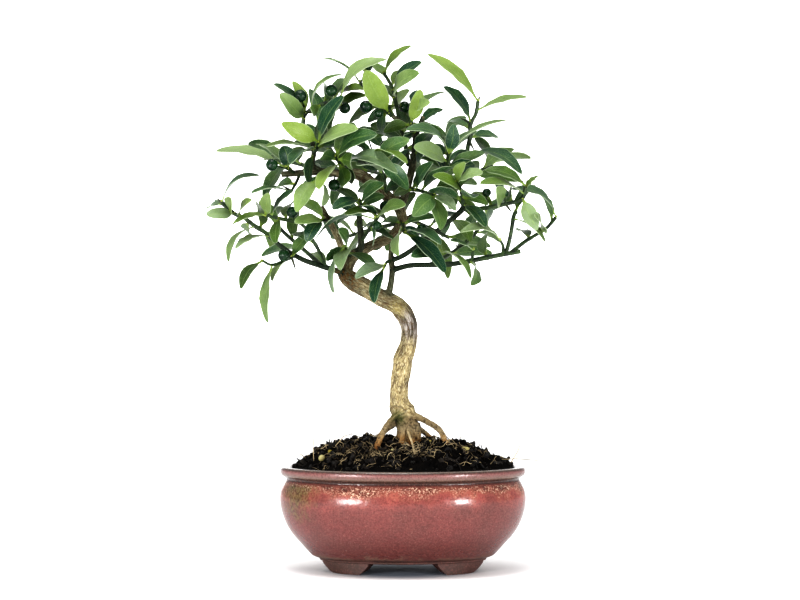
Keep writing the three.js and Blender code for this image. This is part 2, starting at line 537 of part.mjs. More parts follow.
// Leaves that the front doesn't show stand round the stem a golden turn apart.
function leavesByRule(stem, count, random) {
  return Array.from({ length: count }, (_, i) => {
    const share = 0.2 + (0.8 * (i + 0.5)) / count;
    const base = stem.curve.getPoint(share);
    const forward = stem.curve.getTangent(share);
    const across = new THREE.Vector3().crossVectors(forward, UP).normalize();
    const outward = across.clone().applyAxisAngle(forward, i * GOLDEN_TURN + random());
    const length = 30 + 12 * random();
    const lean = 0.5 + 0.5 * random();
    const direction = outward.addScaledVector(forward, lean).normalize();
    direction.z -= 0.1;
    const tip = base.clone().addScaledVector(direction, length);
    const turn = -0.3 - 0.8 * random();
    const arch = 0.06 + 0.1 * random();
    return { base, tip, width: LEAF_SHAPE * length, turn, arch };
  });
}

function stalkCorner(column, face) {
  if (face < 0) {
    return 0;
  }
  return column > 0 ? 1 : -1;
}

function leafSolid(leaf, { shift, roll }, { margin = 0, from = 0 } = {}) {
  const along = leaf.tip.clone().sub(leaf.base);
  along.y += shift;
  const length = along.length();
  along.divideScalar(length);
  const edgeOn = new THREE.Vector3().crossVectors(VIEW, along).normalize();
  edgeOn.multiplyScalar(edgeOn.z < 0 ? -1 : 1);
  const faceOn = VIEW.clone().addScaledVector(along, -VIEW.dot(along)).normalize().negate();
  const turn = leaf.turn + roll;
  const normal = edgeOn.multiplyScalar(Math.cos(turn)).addScaledVector(faceOn, Math.sin(turn));
  const side = new THREE.Vector3().crossVectors(along, normal);

  const rows = LEAF_ROWS.filter(([share]) => share >= from);
  const last = rows.length - 1;
  const positions = [];
  rows.forEach(([share, fullness], row) => {
    const half = row === last ? margin : PETIOLE + (leaf.width / 2 - PETIOLE) * fullness + margin;
    const rise = 4 * leaf.arch * length * share * (1 - share);
    for (const column of [-1, 0, 1]) {
      for (const face of [-1, 1]) {
        // The stalk is three-sided: two corners on its upper face and one below.
        const across = fullness > 0 || row === last ? column : stalkCorner(column, face);
        const fold = Math.abs(across) * FOLD * Math.max(0, half - margin - PETIOLE);
        const point = leaf.base.clone();
        point.addScaledVector(along, share * length + (row === last ? margin : 0));
        point.addScaledVector(side, across * half);
        point.addScaledVector(normal, rise + fold + face * (BLADE / 2 + margin));
        positions.push(...point);
      }
    }
  });

  const triangles = [];
  const quad = (a, b, c, d) => triangles.push(a, b, c, a, c, d);
  const under = (row, column) => (row * 3 + column) * 2;
  const over = (row, column) => under(row, column) + 1;
  for (let row = 0; row < last; row += 1) {
    for (const column of [0, 1]) {
      quad(over(row, column), over(row, column + 1), over(row + 1, column + 1), over(row + 1, column));
      triangles.push(under(row, column), under(row + 1, column + 1), under(row, column + 1));
      triangles.push(under(row, column), under(row + 1, column), under(row + 1, column + 1));
    }
    quad(under(row, 2), under(row + 1, 2), over(row + 1, 2), over(row, 2));
    quad(under(row, 0), over(row, 0), over(row + 1, 0), under(row + 1, 0));
  }
  for (const column of [0, 1]) {
    quad(under(0, column), under(0, column + 1), over(0, column + 1), over(0, column));
    quad(under(last, column), over(last, column), over(last, column + 1), under(last, column + 1));
  }
  const geometry = new THREE.BufferGeometry();
  geometry.setAttribute('position', new THREE.BufferAttribute(new Float32Array(positions), 3));
  geometry.setIndex(triangles);
  return toSolid(geometry);
}

function thornSolid(stem, [share, x, z, depth]) {
  const base = stem.curve.getPoint(share);
  const tip = seen(x, z, depth);
  const length = base.distanceTo(tip);
  const cone = new THREE.ConeGeometry(THORN.radius, length, THORN.sides).translate(0, length / 2, 0);
  cone.applyQuaternion(new THREE.Quaternion().setFromUnitVectors(VIEW, tip.sub(base).normalize()));
  return toSolid(cone.translate(base.x, base.y, base.z));
}

// Room between the pieces

function overlaps(a, b) {
  const [boxA, boxB] = [a.boundingBox(), b.boundingBox()];
  const apart = [0, 1, 2].some((axis) => boxA.min[axis] > boxB.max[axis] || boxB.min[axis] > boxA.max[axis]);
  return !apart && !a.intersect(b).isEmpty();
}

function trimmed(solid, neighbours) {
  const near = neighbours.filter((neighbour) => overlaps(solid, neighbour));
  const left = near.reduce((rest, neighbour) => rest.subtract(neighbour), solid);
  return near.length ? largestPiece(left) : left;
}

function stemBar({ path, radius, blunt }, extra = 0) {
  const last = path.length - 1;
  const tipRadius = blunt ? 0.85 : 0.6;
  const tapering = path.map((point, i) => [...point, radius * THREE.MathUtils.lerp(1, tipRadius, i / last)]);
  return taperedBar(tapering, { sides: 4, steps: path.length - 1, extra });
}

const shoots = Object.entries(SHOOTS).map(([name, stems]) => {
  for (const stem of stems) {
    stem.curve = curveAlong(stem.path);
  }
  const bars = join(stems.map((stem) => stemBar(stem)));
  return { name, stems, bars, bladesAndThorns: [] };
});
const stemsWithGap = shoots.map(({ stems }) => join(stems.map((stem) => stemBar(stem, GAP + 0.1))));

function makeFruit([x, z, depth, diameter, ...from]) {
  const middle = seen(x, z, depth);
  const root = seen(...from);
  const ball = new THREE.SphereGeometry(diameter / 2, 6, 5).rotateX(Math.PI / 2);
  ball.translate(middle.x, middle.y, middle.z);
  const between = (share) => from.map((value, i) => THREE.MathUtils.lerp(value, [x, z, depth][i], share));
  const calyx = 1 - (0.42 * diameter) / middle.distanceTo(root);
  const stalk = [[...from, 0.6], [...between(calyx * 0.6), 0.6], [...between(calyx), 1.9]];
  const whole = toSolid(ball).add(taperedBar(stalk, { sides: 4, steps: 2 }));
  return trimmed(whole, [woodWithGap, ...stemsWithGap]);
}

const fruits = FRUITS.map(makeFruit);

// Every leaf takes the first of its poses that is clear of all that stands there already.
function placeLeaf(shoot, leaf) {
  const rest = shoots.filter((other) => other !== shoot);
  const others = [...fruits, ...rest.flatMap(({ bars, bladesAndThorns }) => [bars, ...bladesAndThorns])];
  const own = [...woodBars, shoot.bars, ...shoot.bladesAndThorns];
  const pose = POSES.find((option) => {
    const whole = leafSolid(leaf, option, { margin: PROBE_MARGIN });
    const blade = leafSolid(leaf, option, { margin: PROBE_MARGIN, from: BLADE_START });
    return !others.some((other) => overlaps(whole, other)) && !own.some((other) => overlaps(blade, other));
  });
  if (pose) {
    shoot.bladesAndThorns.push(leafSolid(leaf, pose));
  }
}

for (const shoot of shoots) {
  for (const stem of shoot.stems) {
    stem.thorns?.forEach((thorn) => shoot.bladesAndThorns.push(thornSolid(stem, thorn)));
    stem.leaves.forEach((leaf) => placeLeaf(shoot, listedLeaf(stem, leaf)));
  }
}
const random = seeded(7);
for (const shoot of shoots) {
  for (const stem of shoot.stems) {
    leavesByRule(stem, stem.more ?? 0, random).forEach((leaf) => placeLeaf(shoot, leaf));
  }
}

for (const { name, bars, bladesAndThorns } of shoots) {
  addPiece(name, trimmed(join([bars, ...bladesAndThorns]), [woodWithGap]), MATERIALS.leaf);
}
fruits.forEach((fruit, i) => addPiece(`fruit_${String(i + 1).padStart(2, '0')}`, fruit, MATERIALS.fruit));

// The origin is the middle of the whole, on the table.
const extent = new THREE.Box3().setFromObject(group);
const middle = extent.getCenter(new THREE.Vector3());
group.position.set(-middle.x, -middle.y, 0);

export default group;
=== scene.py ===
# %% [markdown]
# # A dwarf orange bonsai in its glazed pot
# This lesson dresses a small citrus tree: a bent grey trunk on its own roots, thorny green shoots with
# folded leaves, a few unripe fruit, dark soil and a glazed oval pot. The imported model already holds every
# piece at its place and size, so each piece made here only has to grow finer on the same lines.

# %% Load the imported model
import json
import math
import random
from collections import namedtuple

import bpy
import numpy as np
from mathutils import Matrix, Vector, noise
from mathutils.bvhtree import BVHTree
from mathutils.kdtree import KDTree

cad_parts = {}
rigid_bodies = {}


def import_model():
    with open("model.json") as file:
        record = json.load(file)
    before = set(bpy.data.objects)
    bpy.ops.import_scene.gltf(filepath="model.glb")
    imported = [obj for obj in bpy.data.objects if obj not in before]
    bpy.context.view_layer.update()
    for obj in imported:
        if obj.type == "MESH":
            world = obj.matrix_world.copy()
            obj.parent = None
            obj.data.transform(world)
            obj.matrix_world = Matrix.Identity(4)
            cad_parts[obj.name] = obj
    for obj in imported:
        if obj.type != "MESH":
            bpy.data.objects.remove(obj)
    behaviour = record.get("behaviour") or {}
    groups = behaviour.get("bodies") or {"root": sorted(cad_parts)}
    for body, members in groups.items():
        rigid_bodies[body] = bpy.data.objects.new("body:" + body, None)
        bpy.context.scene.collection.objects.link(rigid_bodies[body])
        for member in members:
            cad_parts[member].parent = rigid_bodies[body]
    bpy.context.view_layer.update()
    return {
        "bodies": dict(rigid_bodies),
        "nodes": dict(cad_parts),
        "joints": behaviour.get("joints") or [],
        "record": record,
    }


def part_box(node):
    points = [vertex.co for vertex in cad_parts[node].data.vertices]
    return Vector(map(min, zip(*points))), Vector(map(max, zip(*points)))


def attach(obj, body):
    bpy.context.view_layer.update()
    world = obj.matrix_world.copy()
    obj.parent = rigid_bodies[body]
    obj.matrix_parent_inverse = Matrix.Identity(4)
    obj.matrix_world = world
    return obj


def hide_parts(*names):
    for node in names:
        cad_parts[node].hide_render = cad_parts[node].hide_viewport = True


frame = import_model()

print("pieces in the frame:", len(frame["nodes"]))

# %% [markdown]
# ## Millimetres around the pot
# A grower measures from the pot, so every number below is in millimetres from the middle of its foot, and
# one function turns it into the frame's metres. Branches and leaves were read off as they are seen from the
# front: across, up and how far behind the trunk. `seen` moves such a reading to its depth, on the line from
# the eye.

# %% Places
MM = 0.001
EYE = np.array([-2.2, -1800.0, 200.0])
pot_low, pot_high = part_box("pot")
POT_MIDDLE = np.array([(pot_low.x + pot_high.x) / 2, (pot_low.y + pot_high.y) / 2, 0.0])


def placed(points):
    return np.asarray(points, float) * MM + POT_MIDDLE


def seen(x, z, depth):
    nearer = 1 + depth / -EYE[1]
    return np.array([EYE[0] + (x - EYE[0]) * nearer, depth, EYE[2] + (z - EYE[2]) * nearer])


def unit(vector):
    return vector / np.linalg.norm(vector)


print("middle of the pot:", POT_MIDDLE.round(4))

# %% [markdown]
# ## Camera, floor and light
# The tree stands alone on white, a long way from the lens, so the picture is nearly flat. The camera is at
# the same height as the middle of the tree and looks level. Two low soft boxes in front put their two
# highlights on the belly of the pot, and a third hangs above. A pale world fills the shadows, and a white
# card stands far behind. Right under the pot the floor is painted a dark bluish grey: a painted shadow.
# Around it the floor glows, first enough to lift the cast shadows beside the feet, then a little more the
# farther it is, and the world itself looks white, though it lights the tree with less than half of that, so
# no line shows between them. The High Contrast look gives the deep blacks of a studio print.

# %% Camera
VIEW_WIDTH = 592.0  # what the picture spans at the trunk
FARTHEST_SEEN = 20  # metres
bpy.ops.object.camera_add(location=placed(EYE), rotation=(math.pi / 2, 0, 0))
camera = bpy.context.object
camera.data.lens = camera.data.sensor_width * -EYE[1] / VIEW_WIDTH
camera.data.clip_end = FARTHEST_SEEN
bpy.context.scene.camera = camera
bpy.context.scene.view_settings.view_transform = "Standard"
bpy.context.scene.view_settings.look = "High Contrast"
print("lens:", round(camera.data.lens, 1), "mm")

# %% [markdown]
# A material is a graph of small nodes. Each helper adds one of them and gives back what it makes, so a
# finish can be written like a sum. Any input may be a plain value or another node's output.

# %% Helpers for materials
def feed(node, inputs):
    """Each input takes a plain value or another node's output."""
    for name, value in inputs.items():
        if isinstance(value, bpy.types.NodeSocket):
            tree.links.new(value, node.inputs[name])
        else:
            node.inputs[name].default_value = value


def add_node(kind, inputs=(), **settings):
    made = tree.nodes.new("ShaderNode" + kind)
    for name, value in settings.items():
        setattr(made, name, value)
    feed(made, dict(inputs))
    return made


def new_finish(name):
    """An empty material. Every helper here adds to the newest one."""
    global tree, shader
    finish = bpy.data.materials.new(name)
    finish.use_nodes = True
    tree = finish.node_tree
    shader = tree.nodes["Principled BSDF"]
    return finish


def calculated(operation, first, second=0.0):
    return add_node("Math", {0: first, 1: second}, operation=operation).outputs[0]


def plus(first, second):
    return calculated("ADD", first, second)


def vectors(operation, first, second, output=0):
    return add_node("VectorMath", {0: first, 1: second}, operation=operation).outputs[output]


def distance(place, spot):
    return vectors("DISTANCE", place, spot, "Value")


def ranged(value, low, high, to_low=0.0, to_high=1.0):
    """A value brought from one range to another, and held at its ends."""
    limits = {"From Min": low, "From Max": high, "To Min": to_low, "To Max": to_high}
    return add_node("MapRange", {"Value": value, **limits}).outputs["Result"]


def colours_along(factor, stops):
    """Colours that change with a factor: each stop is the factor and its red, green and blue."""
    made = add_node("ValToRGB", {"Fac": factor})
    band = made.color_ramp
    while len(band.elements) < len(stops):
        band.elements.new(1)
    for element, (at, colour) in zip(band.elements, stops):
        element.position = at
        element.color = (*colour, 1)
    return made.outputs["Color"]


print("helpers for materials are ready")

# %% Floor and light
WHITE = (1, 1, 1, 1)
FLOOR_SIZE, UNDER_THE_FEET = 60, -0.0002  # metres
CARD_SIZE, CARD_PLACE = 2.4, (0, 3.9, 0.7)
ROOM_LIGHT = 0.42
bpy.ops.mesh.primitive_plane_add(size=FLOOR_SIZE, location=(0, 0, UNDER_THE_FEET))
floor = bpy.context.object
floor.name = "floor"
floor.data.materials.append(new_finish("floor_paper"))
from_pot = distance(add_node("TexCoord").outputs["Object"], tuple(POT_MIDDLE))
# Right under the pot the paper is a dark bluish grey, a painted shadow. Near the pot the glow lifts the
# cast shadows beside the feet, which is painted light; far off it keeps the floor white.
paper_and_painted_shadow = colours_along(from_pot, [(0.035, (0.34, 0.38, 0.46)), (0.06, (0.95, 0.95, 0.95))])
glow = plus(ranged(from_pot, 0.045, 0.11, 0.0, 0.2), ranged(from_pot, 0.9, 3.4, 0.0, 0.5))
feed(shader, {"Base Color": paper_and_painted_shadow, "Roughness": 0.8, "Emission Color": WHITE, "Emission Strength": glow})
bpy.ops.mesh.primitive_plane_add(size=CARD_SIZE, location=CARD_PLACE, rotation=(math.pi / 2, 0, 0))
card = bpy.context.object
card.name = "white_card"
card.data.materials.append(new_finish("lit_white_card"))
feed(shader, {"Base Color": WHITE, "Emission Color": WHITE, "Emission Strength": 1.0})

world = bpy.data.worlds.new("white_room")
world.use_nodes = True
tree = world.node_tree
looked_at = add_node("LightPath").outputs["Is Camera Ray"]
feed(tree.nodes["Background"], {"Color": WHITE, "Strength": ranged(looked_at, 0.0, 1.0, ROOM_LIGHT, 1.0)})
bpy.context.scene.world = world

SOFT_BOXES = [  # place and what it aims at in metres, width, height, power
    ((-0.87, -1.1, 0.21), (0, 0, 0.13), 0.44, 0.36, 9.8),
    ((0.98, -1.02, 0.2), (0, 0, 0.13), 0.28, 0.34, 7.6),
    ((-0.1, -0.3, 1.45), (0, 0, 0.25), 0.7, 0.7, 10),
]
for at, aim, width, height, power in SOFT_BOXES:
    turn = (Vector(aim) - Vector(at)).to_track_quat("-Z", "Y").to_euler()
    bpy.ops.object.light_add(type="AREA", location=at, rotation=turn)
    box = bpy.context.object.data
    box.shape = "RECTANGLE"
    box.size, box.size_y, box.energy = width, height, power
print("soft boxes:", len(SOFT_BOXES))

# %% [markdown]
# ## Working by hand
# Each piece starts as a primitive and is pulled into shape in edit mode, as it would be with the mouse. An
# operator works on all that is selected, so these small helpers first clear the selection and then pick one
# object, or the faces of it that a rule names.

# %% Helpers for modelling
def pick(thing):
    """Only this object is selected and active."""
    if bpy.context.object and bpy.context.object.mode != "OBJECT":
        bpy.ops.object.mode_set(mode="OBJECT")
    bpy.ops.object.select_all(action="DESELECT")
    thing.select_set(True)
    bpy.context.view_layer.objects.active = thing
    return thing


def place_in_mesh(thing):
    """The object's own place, turn and size go into its mesh."""
    pick(thing)
    bpy.ops.object.transform_apply(location=True, rotation=True, scale=True)


def edit_all():
    """Into edit mode, with the whole mesh selected."""
    bpy.ops.object.mode_set(mode="EDIT")
    bpy.ops.mesh.select_all(action="SELECT")


def face_out():
    """Turn all faces outwards and leave edit mode."""
    bpy.ops.mesh.select_all(action="SELECT")
    bpy.ops.mesh.normals_make_consistent(inside=False)
    bpy.ops.object.mode_set(mode="OBJECT")


def step_up(rise, wide, deep, **about):
    """The selection is extruded up, and its new end resized."""
    bpy.ops.mesh.extrude_region_move(TRANSFORM_OT_translate={"value": (0, 0, rise)})
    bpy.ops.transform.resize(value=(wide, deep, 1), **about)


# %% [markdown]
# ## The pot
# A stoneware oval is pressed in a mould: a flat base, a round belly that is widest above its middle, a
# tight neck and a banded rim. A lathe can't turn an oval, so one oval face is extruded up through the
# outline, in over the rim and down to the floor. Each ring is as much less deep than wide as the one
# before, so the lips are even all round.

# %% The pot's outline
# Half width and height of each ring, up the outside and down the inside.
POT_OUTSIDE = [(60, 8), (61.4, 8.2), (61.9, 9), (61.6, 9.6), (62.6, 10.1), (65.4, 10.9), (67.6, 12),
               (68.8, 13.4), (71.4, 16), (75, 20), (79.2, 24.4), (83, 29), (86.1, 34.2), (88.5, 40),
               (90.2, 46), (91, 52), (90.8, 57), (89.4, 61.4), (87.8, 64.4), (86.6, 66.4), (86, 67.7),
               (86.2, 68.8), (87.6, 69.8), (89.3, 70.7), (90.2, 71.9), (90.5, 73.6), (90.3, 75.3),
               (89.5, 76.7)]
POT_INSIDE = [(87.4, 77.2), (84.8, 77), (83.4, 76), (82, 72), (80.5, 67), (82, 60.5), (83.5, 54),
              (82, 44.5), (79, 35), (69, 24), (57, 15)]
POT_INSET = 23
FOOT_INNER = 50
POT_SIDES = 96


def oval_depth(half_width):
    return half_width - POT_INSET * min(1, half_width / FOOT_INNER)


def next_ring(before, ring):
    """The selected oval is extruded to the next ring of the outline."""
    (old_width, old_height), (width, height) = before, ring
    wide, deep = width / old_width, oval_depth(width) / oval_depth(old_width)
    step_up((height - old_height) * MM, wide, deep, center_override=placed((0, 0, height)))


base_width, underside = POT_OUTSIDE[0]
bpy.ops.mesh.primitive_circle_add(vertices=POT_SIDES, radius=base_width * MM, fill_type="NGON",
                                  location=placed((0, 0, underside)))
pot = bpy.context.object
pot.name = "glazed_pot"
place_in_mesh(pot)
edit_all()
bpy.ops.transform.resize(value=(1, oval_depth(base_width) / base_width, 1),
                         center_override=placed((0, 0, underside)))
ring = POT_OUTSIDE[0]
for further in POT_OUTSIDE[1:] + POT_INSIDE:
    next_ring(ring, further)
    ring = further
face_out()
print("pot walls:", len(pot.data.polygons), "faces")

# %% [markdown]
# Water leaves the pot through two holes. They could be made from the faces of the base, but a Boolean with
# a cylinder gives them a true round after the whole pot has been softened by a subdivision. One more ring
# in the base comes first, and keeps it flat where the feet will stand.

# %% Drain holes and a soft skin
def pick_faces(thing, rule):
    """In edit mode, with only the faces selected whose centre obeys the rule."""
    pick(thing)
    bpy.ops.object.mode_set(mode="EDIT")
    bpy.ops.mesh.select_mode(type="FACE")
    bpy.ops.mesh.select_all(action="DESELECT")
    bpy.ops.object.mode_set(mode="OBJECT")
    for face in thing.data.polygons:
        centre = (np.array(face.center) - POT_MIDDLE) / MM
        face.select = bool(rule(centre))
    bpy.ops.object.mode_set(mode="EDIT")


def finish_with(thing, kind, **settings):
    """A modifier, set and applied."""
    pick(thing)
    modifier = thing.modifiers.new(kind.title(), kind)
    for name, value in settings.items():
        setattr(modifier, name, value)
    bpy.ops.object.modifier_apply(modifier=modifier.name)


# Only the one flat face of the base has its centre so near the middle and so low.
pick_faces(pot, lambda at: at[2] < underside + 0.1 and abs(at[0]) < 1 and abs(at[1]) < 1)
next_ring(POT_OUTSIDE[0], (FOOT_INNER, underside))
finish_with(pot, "SUBSURF", levels=1, render_levels=1)
DRAIN_OFFSET, DRAIN_RADIUS = 27, 8
DRILL_LENGTH, DRILL_HEIGHT = 12, 11.5
for side in (-1, 1):
    bpy.ops.mesh.primitive_cylinder_add(vertices=32, radius=DRAIN_RADIUS * MM, depth=DRILL_LENGTH * MM,
                                        location=placed((side * DRAIN_OFFSET, 0, DRILL_HEIGHT)))
    drill = bpy.context.object
    finish_with(pot, "BOOLEAN", object=drill, operation="DIFFERENCE", solver="EXACT")
    bpy.data.objects.remove(drill)
print("pot with drains:", len(pot.data.polygons), "faces")

# %% [markdown]
# The feet are cut from one low ring under the base, so what is left of it has the oval's curve. Each foot
# is the same faces of the base, extruded down in steps: first a small pinch where the foot joins, then a
# round taper.

# %% Four cloud feet
def smoothed(thing, crease=None):
    """Soft shading, which stops at edges sharper than this many degrees."""
    pick(thing)
    if crease is None:
        bpy.ops.object.shade_smooth()
    else:
        bpy.ops.object.shade_smooth_by_angle(angle=math.radians(crease))


def points_of(mesh):
    flat = np.empty(len(mesh.vertices) * 3)
    mesh.vertices.foreach_get("co", flat)
    return flat.reshape(-1, 3)


FOOT_STEPS = [(7.7, 0.975), (7.3, 0.985), (6.3, 0.955), (5.1, 0.9), (3.8, 0.835), (2.5, 0.765), (1.4, 0.7),
              (0.6, 0.645), (0.15, 0.605), (0, 0.585)]
FOOT_START = 24  # from the middle of the front
FOOT_END_GAP = 6  # from the middle of each end
FOOT_MIDDLE = (42.5, 24)
FOOT_RING = ((49.5, 26.6), (60.4, 37.4))  # half width and depth of the ring, inside and outside
FOOT_RING_LOW, FOOT_RING_HIGH = 7.8, 8.4  # the heights between which its faces lie


def under_foot(at, side_x, side_y):
    inside, outside = (math.hypot(at[0] / wide, at[1] / deep) for wide, deep in FOOT_RING)
    return (FOOT_RING_LOW < at[2] < FOOT_RING_HIGH and at[0] * side_x > FOOT_START
            and at[1] * side_y > FOOT_END_GAP and inside > 1 and outside < 1)


for side_x, side_y in ((-1, -1), (-1, 1), (1, -1), (1, 1)):
    pick_faces(pot, lambda at: under_foot(at, side_x, side_y))
    middle = placed((side_x * FOOT_MIDDLE[0], side_y * FOOT_MIDDLE[1], 0))
    height, size = underside, 1
    for next_height, next_size in FOOT_STEPS:
        shrink = next_size / size
        step_up((next_height - height) * MM, shrink, math.sqrt(shrink), center_override=middle)
        height, size = next_height, next_size
    bpy.ops.transform.resize(value=(1, 1, 0), center_override=placed((0, 0, 0)))
bpy.ops.object.mode_set(mode="OBJECT")
smoothed(pot, 35)
print("lowest point of the feet:", round(points_of(pot.data)[:, 2].min() / MM, 3), "mm")

# %% [markdown]
# ## The glaze
# The glaze is a glossy mauve red that breaks where it runs thin: grey on the lip, ochre and black crumbs on
# an orange shoulder, an olive patch at its left, and brown clay on the feet. The neck under the rim and a
# thin line at the lip are painted near-black as shade. So the colour follows the height on the pot, with
# noise that frays the bands, and light and dark specks lie over it.

# %% Helpers for layers of colour
def times(first, second):
    return calculated("MULTIPLY", first, second)


def mixed(factor, under, over, kind="MIX"):
    """One colour over another, by a factor."""
    under, over = (each if isinstance(each, bpy.types.NodeSocket) else (*each, 1) for each in (under, over))
    return add_node("Mix", {0: factor, 6: under, 7: over}, data_type="RGBA", blend_type=kind).outputs[2]


def grain(place, scale, detail=2.0, roughness=0.5):
    """Soft noise over a place, from 0 to 1."""
    settings = {"Scale": scale, "Detail": detail, "Roughness": roughness}
    return add_node("TexNoise", {"Vector": place, **settings}).outputs["Fac"]


def cells(place, scale, feature="F1"):
    """Round cells over a place: the distance from the middle of each, or from its edge."""
    return add_node("TexVoronoi", {"Vector": place, "Scale": scale}, feature=feature).outputs["Distance"]


def millimetres():
    """Where a point of the piece is, in millimetres from the middle of the pot's foot."""
    moved = vectors("SUBTRACT", add_node("TexCoord").outputs["Object"], tuple(POT_MIDDLE))
    return add_node("VectorMath", {0: moved, "Scale": 1 / MM}, operation="SCALE").outputs[0]


def bumped(height, depth, strength):
    """Fine relief that only the light sees."""
    relief = add_node("Bump", {"Height": height, "Distance": depth, "Strength": strength})
    feed(shader, {"Normal": relief.outputs["Normal"]})


def hand_over(thing, slot, *nodes):
    """The piece is part of the tree and stands for those nodes, which it hides. Its slot is not used."""
    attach(thing, "root")
    if nodes:
        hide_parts(*nodes)
    print(thing.name, "has", len(thing.data.polygons), "faces")


print("helpers for noise, cells and layers are ready")

# %% Glaze
glaze = new_finish("speckled_glaze")
place = millimetres()
height = add_node("SeparateXYZ", {0: place}).outputs["Z"]
fray, fine_fray = grain(place, 0.09, 4), grain(place, 0.55, 3, 0.6)
wander = plus(ranged(fray, 0.3, 0.7, -4.5, 4.5), ranged(fine_fray, 0.3, 0.7, -1.6, 1.6))
below_neck = ranged(height, 63.5, 66.5, 1.0, 0.0)
frayed_height = plus(height, times(times(wander, below_neck), ranged(height, 10.0, 18.0, 0.25, 1.0)))
# Colours by height. The near-black band from the neck up under the rim, and the thin dark line near the top
# of the lip, are painted shade: the shadow under the rim's overhang and at the inner edge of the lip.
bands_and_painted_rim_shade = colours_along(calculated("DIVIDE", frayed_height, 80.0), [
    (0.1, (0.065, 0.036, 0.027)), (0.13, (0.08, 0.04, 0.03)), (0.148, (0.17, 0.1, 0.075)),
    (0.165, (0.115, 0.034, 0.03)), (0.4, (0.165, 0.046, 0.042)), (0.62, (0.2, 0.058, 0.052)),
    (0.7, (0.3, 0.08, 0.068)), (0.745, (0.37, 0.118, 0.085)), (0.79, (0.35, 0.13, 0.09)),
    (0.825, (0.2, 0.062, 0.045)), (0.845, (0.03, 0.012, 0.01)), (0.87, (0.05, 0.03, 0.022)),
    (0.885, (0.18, 0.13, 0.105)), (0.905, (0.2, 0.115, 0.1)), (0.93, (0.235, 0.105, 0.1)),
    (0.95, (0.05, 0.036, 0.03)), (0.967, (0.28, 0.24, 0.21))])
clouds = times(ranged(grain(place, 0.05, 3), 0.42, 0.62, 0.0, 0.42), below_neck)
colour = mixed(clouds, bands_and_painted_rim_shade, (0.125, 0.049, 0.042))
mottle = grain(place, 0.75, 2, 0.7)
colour = mixed(ranged(mottle, 0.5, 0.68, 0.0, 0.25), colour, (0.36, 0.12, 0.095))
colour = mixed(ranged(mottle, 0.5, 0.34, 0.0, 0.45), colour, (0.07, 0.022, 0.018))
light_specks = times(ranged(cells(place, 0.75), 0.1, 0.28, 1.0, 0.0),
                     ranged(grain(place, 0.45, 1), 0.5, 0.58))
colour = mixed(times(light_specks, 0.36), colour, (0.5, 0.25, 0.18))
dark_specks = times(ranged(cells(place, 0.8), 0.12, 0.32, 1.0, 0.0),
                    ranged(grain(place, 0.3, 1), 0.46, 0.56))
colour = mixed(times(dark_specks, 0.6), colour, (0.05, 0.016, 0.012))
# The shoulder is broken into ochre and black crumbs.
on_shoulder = times(ranged(plus(height, wander), 58.0, 62.5), ranged(height, 65.4, 66.6, 1.0, 0.0))
crumbs = grain(place, 0.8, 3, 0.75)
crumbled = mixed(ranged(crumbs, 0.55, 0.61), colour, (0.8, 0.58, 0.42))
crumbled = mixed(ranged(crumbs, 0.46, 0.42), crumbled, (0.07, 0.025, 0.015))
patchy = ranged(grain(place, 0.07, 2), 0.4, 0.6, 0.55, 0.95)
colour = mixed(times(on_shoulder, patchy), colour, crumbled)
# An olive patch lies on the left shoulder, and runs down in streaks.
run = grain(vectors("MULTIPLY", place, (0.25, 0.25, 0.14)), 1.0, 3)
olive = mixed(ranged(fine_fray, 0.4, 0.6), (0.05, 0.035, 0.014), (0.17, 0.13, 0.05))
ragged = plus(distance(place, (-73.0, -30.0, 61.0)), ranged(run, 0.25, 0.75, -6.0, 6.0))
colour = mixed(times(ranged(ragged, 9.0, 24.0, 0.85, 0.0), below_neck), colour, olive)
dullness = plus(ranged(frayed_height, 9.0, 17.0, 0.6, 0.17), ranged(fine_fray, 0.3, 0.8, 0.0, 0.1))
feed(shader, {"Base Color": colour, "Roughness": dullness, "Coat Weight": 0.12, "Coat Roughness": 0.05})
waviness = times(grain(place, 0.5, 2), ranged(height, 58.0, 64.0, 0.0, 1.6))
bumped(plus(plus(grain(place, 0.25, 3), waviness), times(light_specks, 0.15)), 0.0005, 0.35)
pot.data.materials.append(glaze)
hand_over(pot, "glaze", "pot")

# %% [markdown]
# ## Drainage screens
# Plastic mesh lies over each drain hole and keeps the soil in. It is a grid whose every face is inset, and
# the faces left in the middle are the holes. Solidify gives the strands their thickness.

# %% Two screens
SCREEN_CELLS, STRAND_GAP = 9, 0.55
screen_plastic = new_finish("screen_plastic")
plastic = mixed(grain(millimetres(), 1.5, 3), (0.012, 0.012, 0.013), (0.035, 0.035, 0.033))
feed(shader, {"Base Color": plastic, "Roughness": 0.55})
for name in ("drainage_screen_left", "drainage_screen_right"):
    low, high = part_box(name)
    bpy.ops.mesh.primitive_grid_add(x_subdivisions=SCREEN_CELLS, y_subdivisions=SCREEN_CELLS,
                                    size=high.x - low.x, location=(low + high) / 2)
    screen = bpy.context.object
    screen.name = name.replace("drainage_", "plastic_")
    place_in_mesh(screen)
    edit_all()
    bpy.ops.mesh.inset(thickness=STRAND_GAP * MM, use_individual=True)
    bpy.ops.mesh.delete(type="FACE")
    bpy.ops.object.mode_set(mode="OBJECT")
    finish_with(screen, "SOLIDIFY", thickness=high.z - low.z, offset=0)
    finish_with(screen, "BEVEL", width=0.15 * MM, segments=1)
    screen.data.materials.append(screen_plastic)
    hand_over(screen, "drainage_plastic", name)

# %% [markdown]
# ## Soil
# The soil is a dark fibrous mix that was heaped round the roots and pressed down at the rim. A grid is
# pushed into an oval and lifted to the mound's height, three Displace modifiers break its top into clods,
# and its border is extruded down along the pot's wall. Over it lie loose crumbs, bark chips and fine
# roots.

# %% Soil mound
def move_points(mesh, points):
    mesh.vertices.foreach_set("co", np.asarray(points, float).ravel())
    mesh.update()


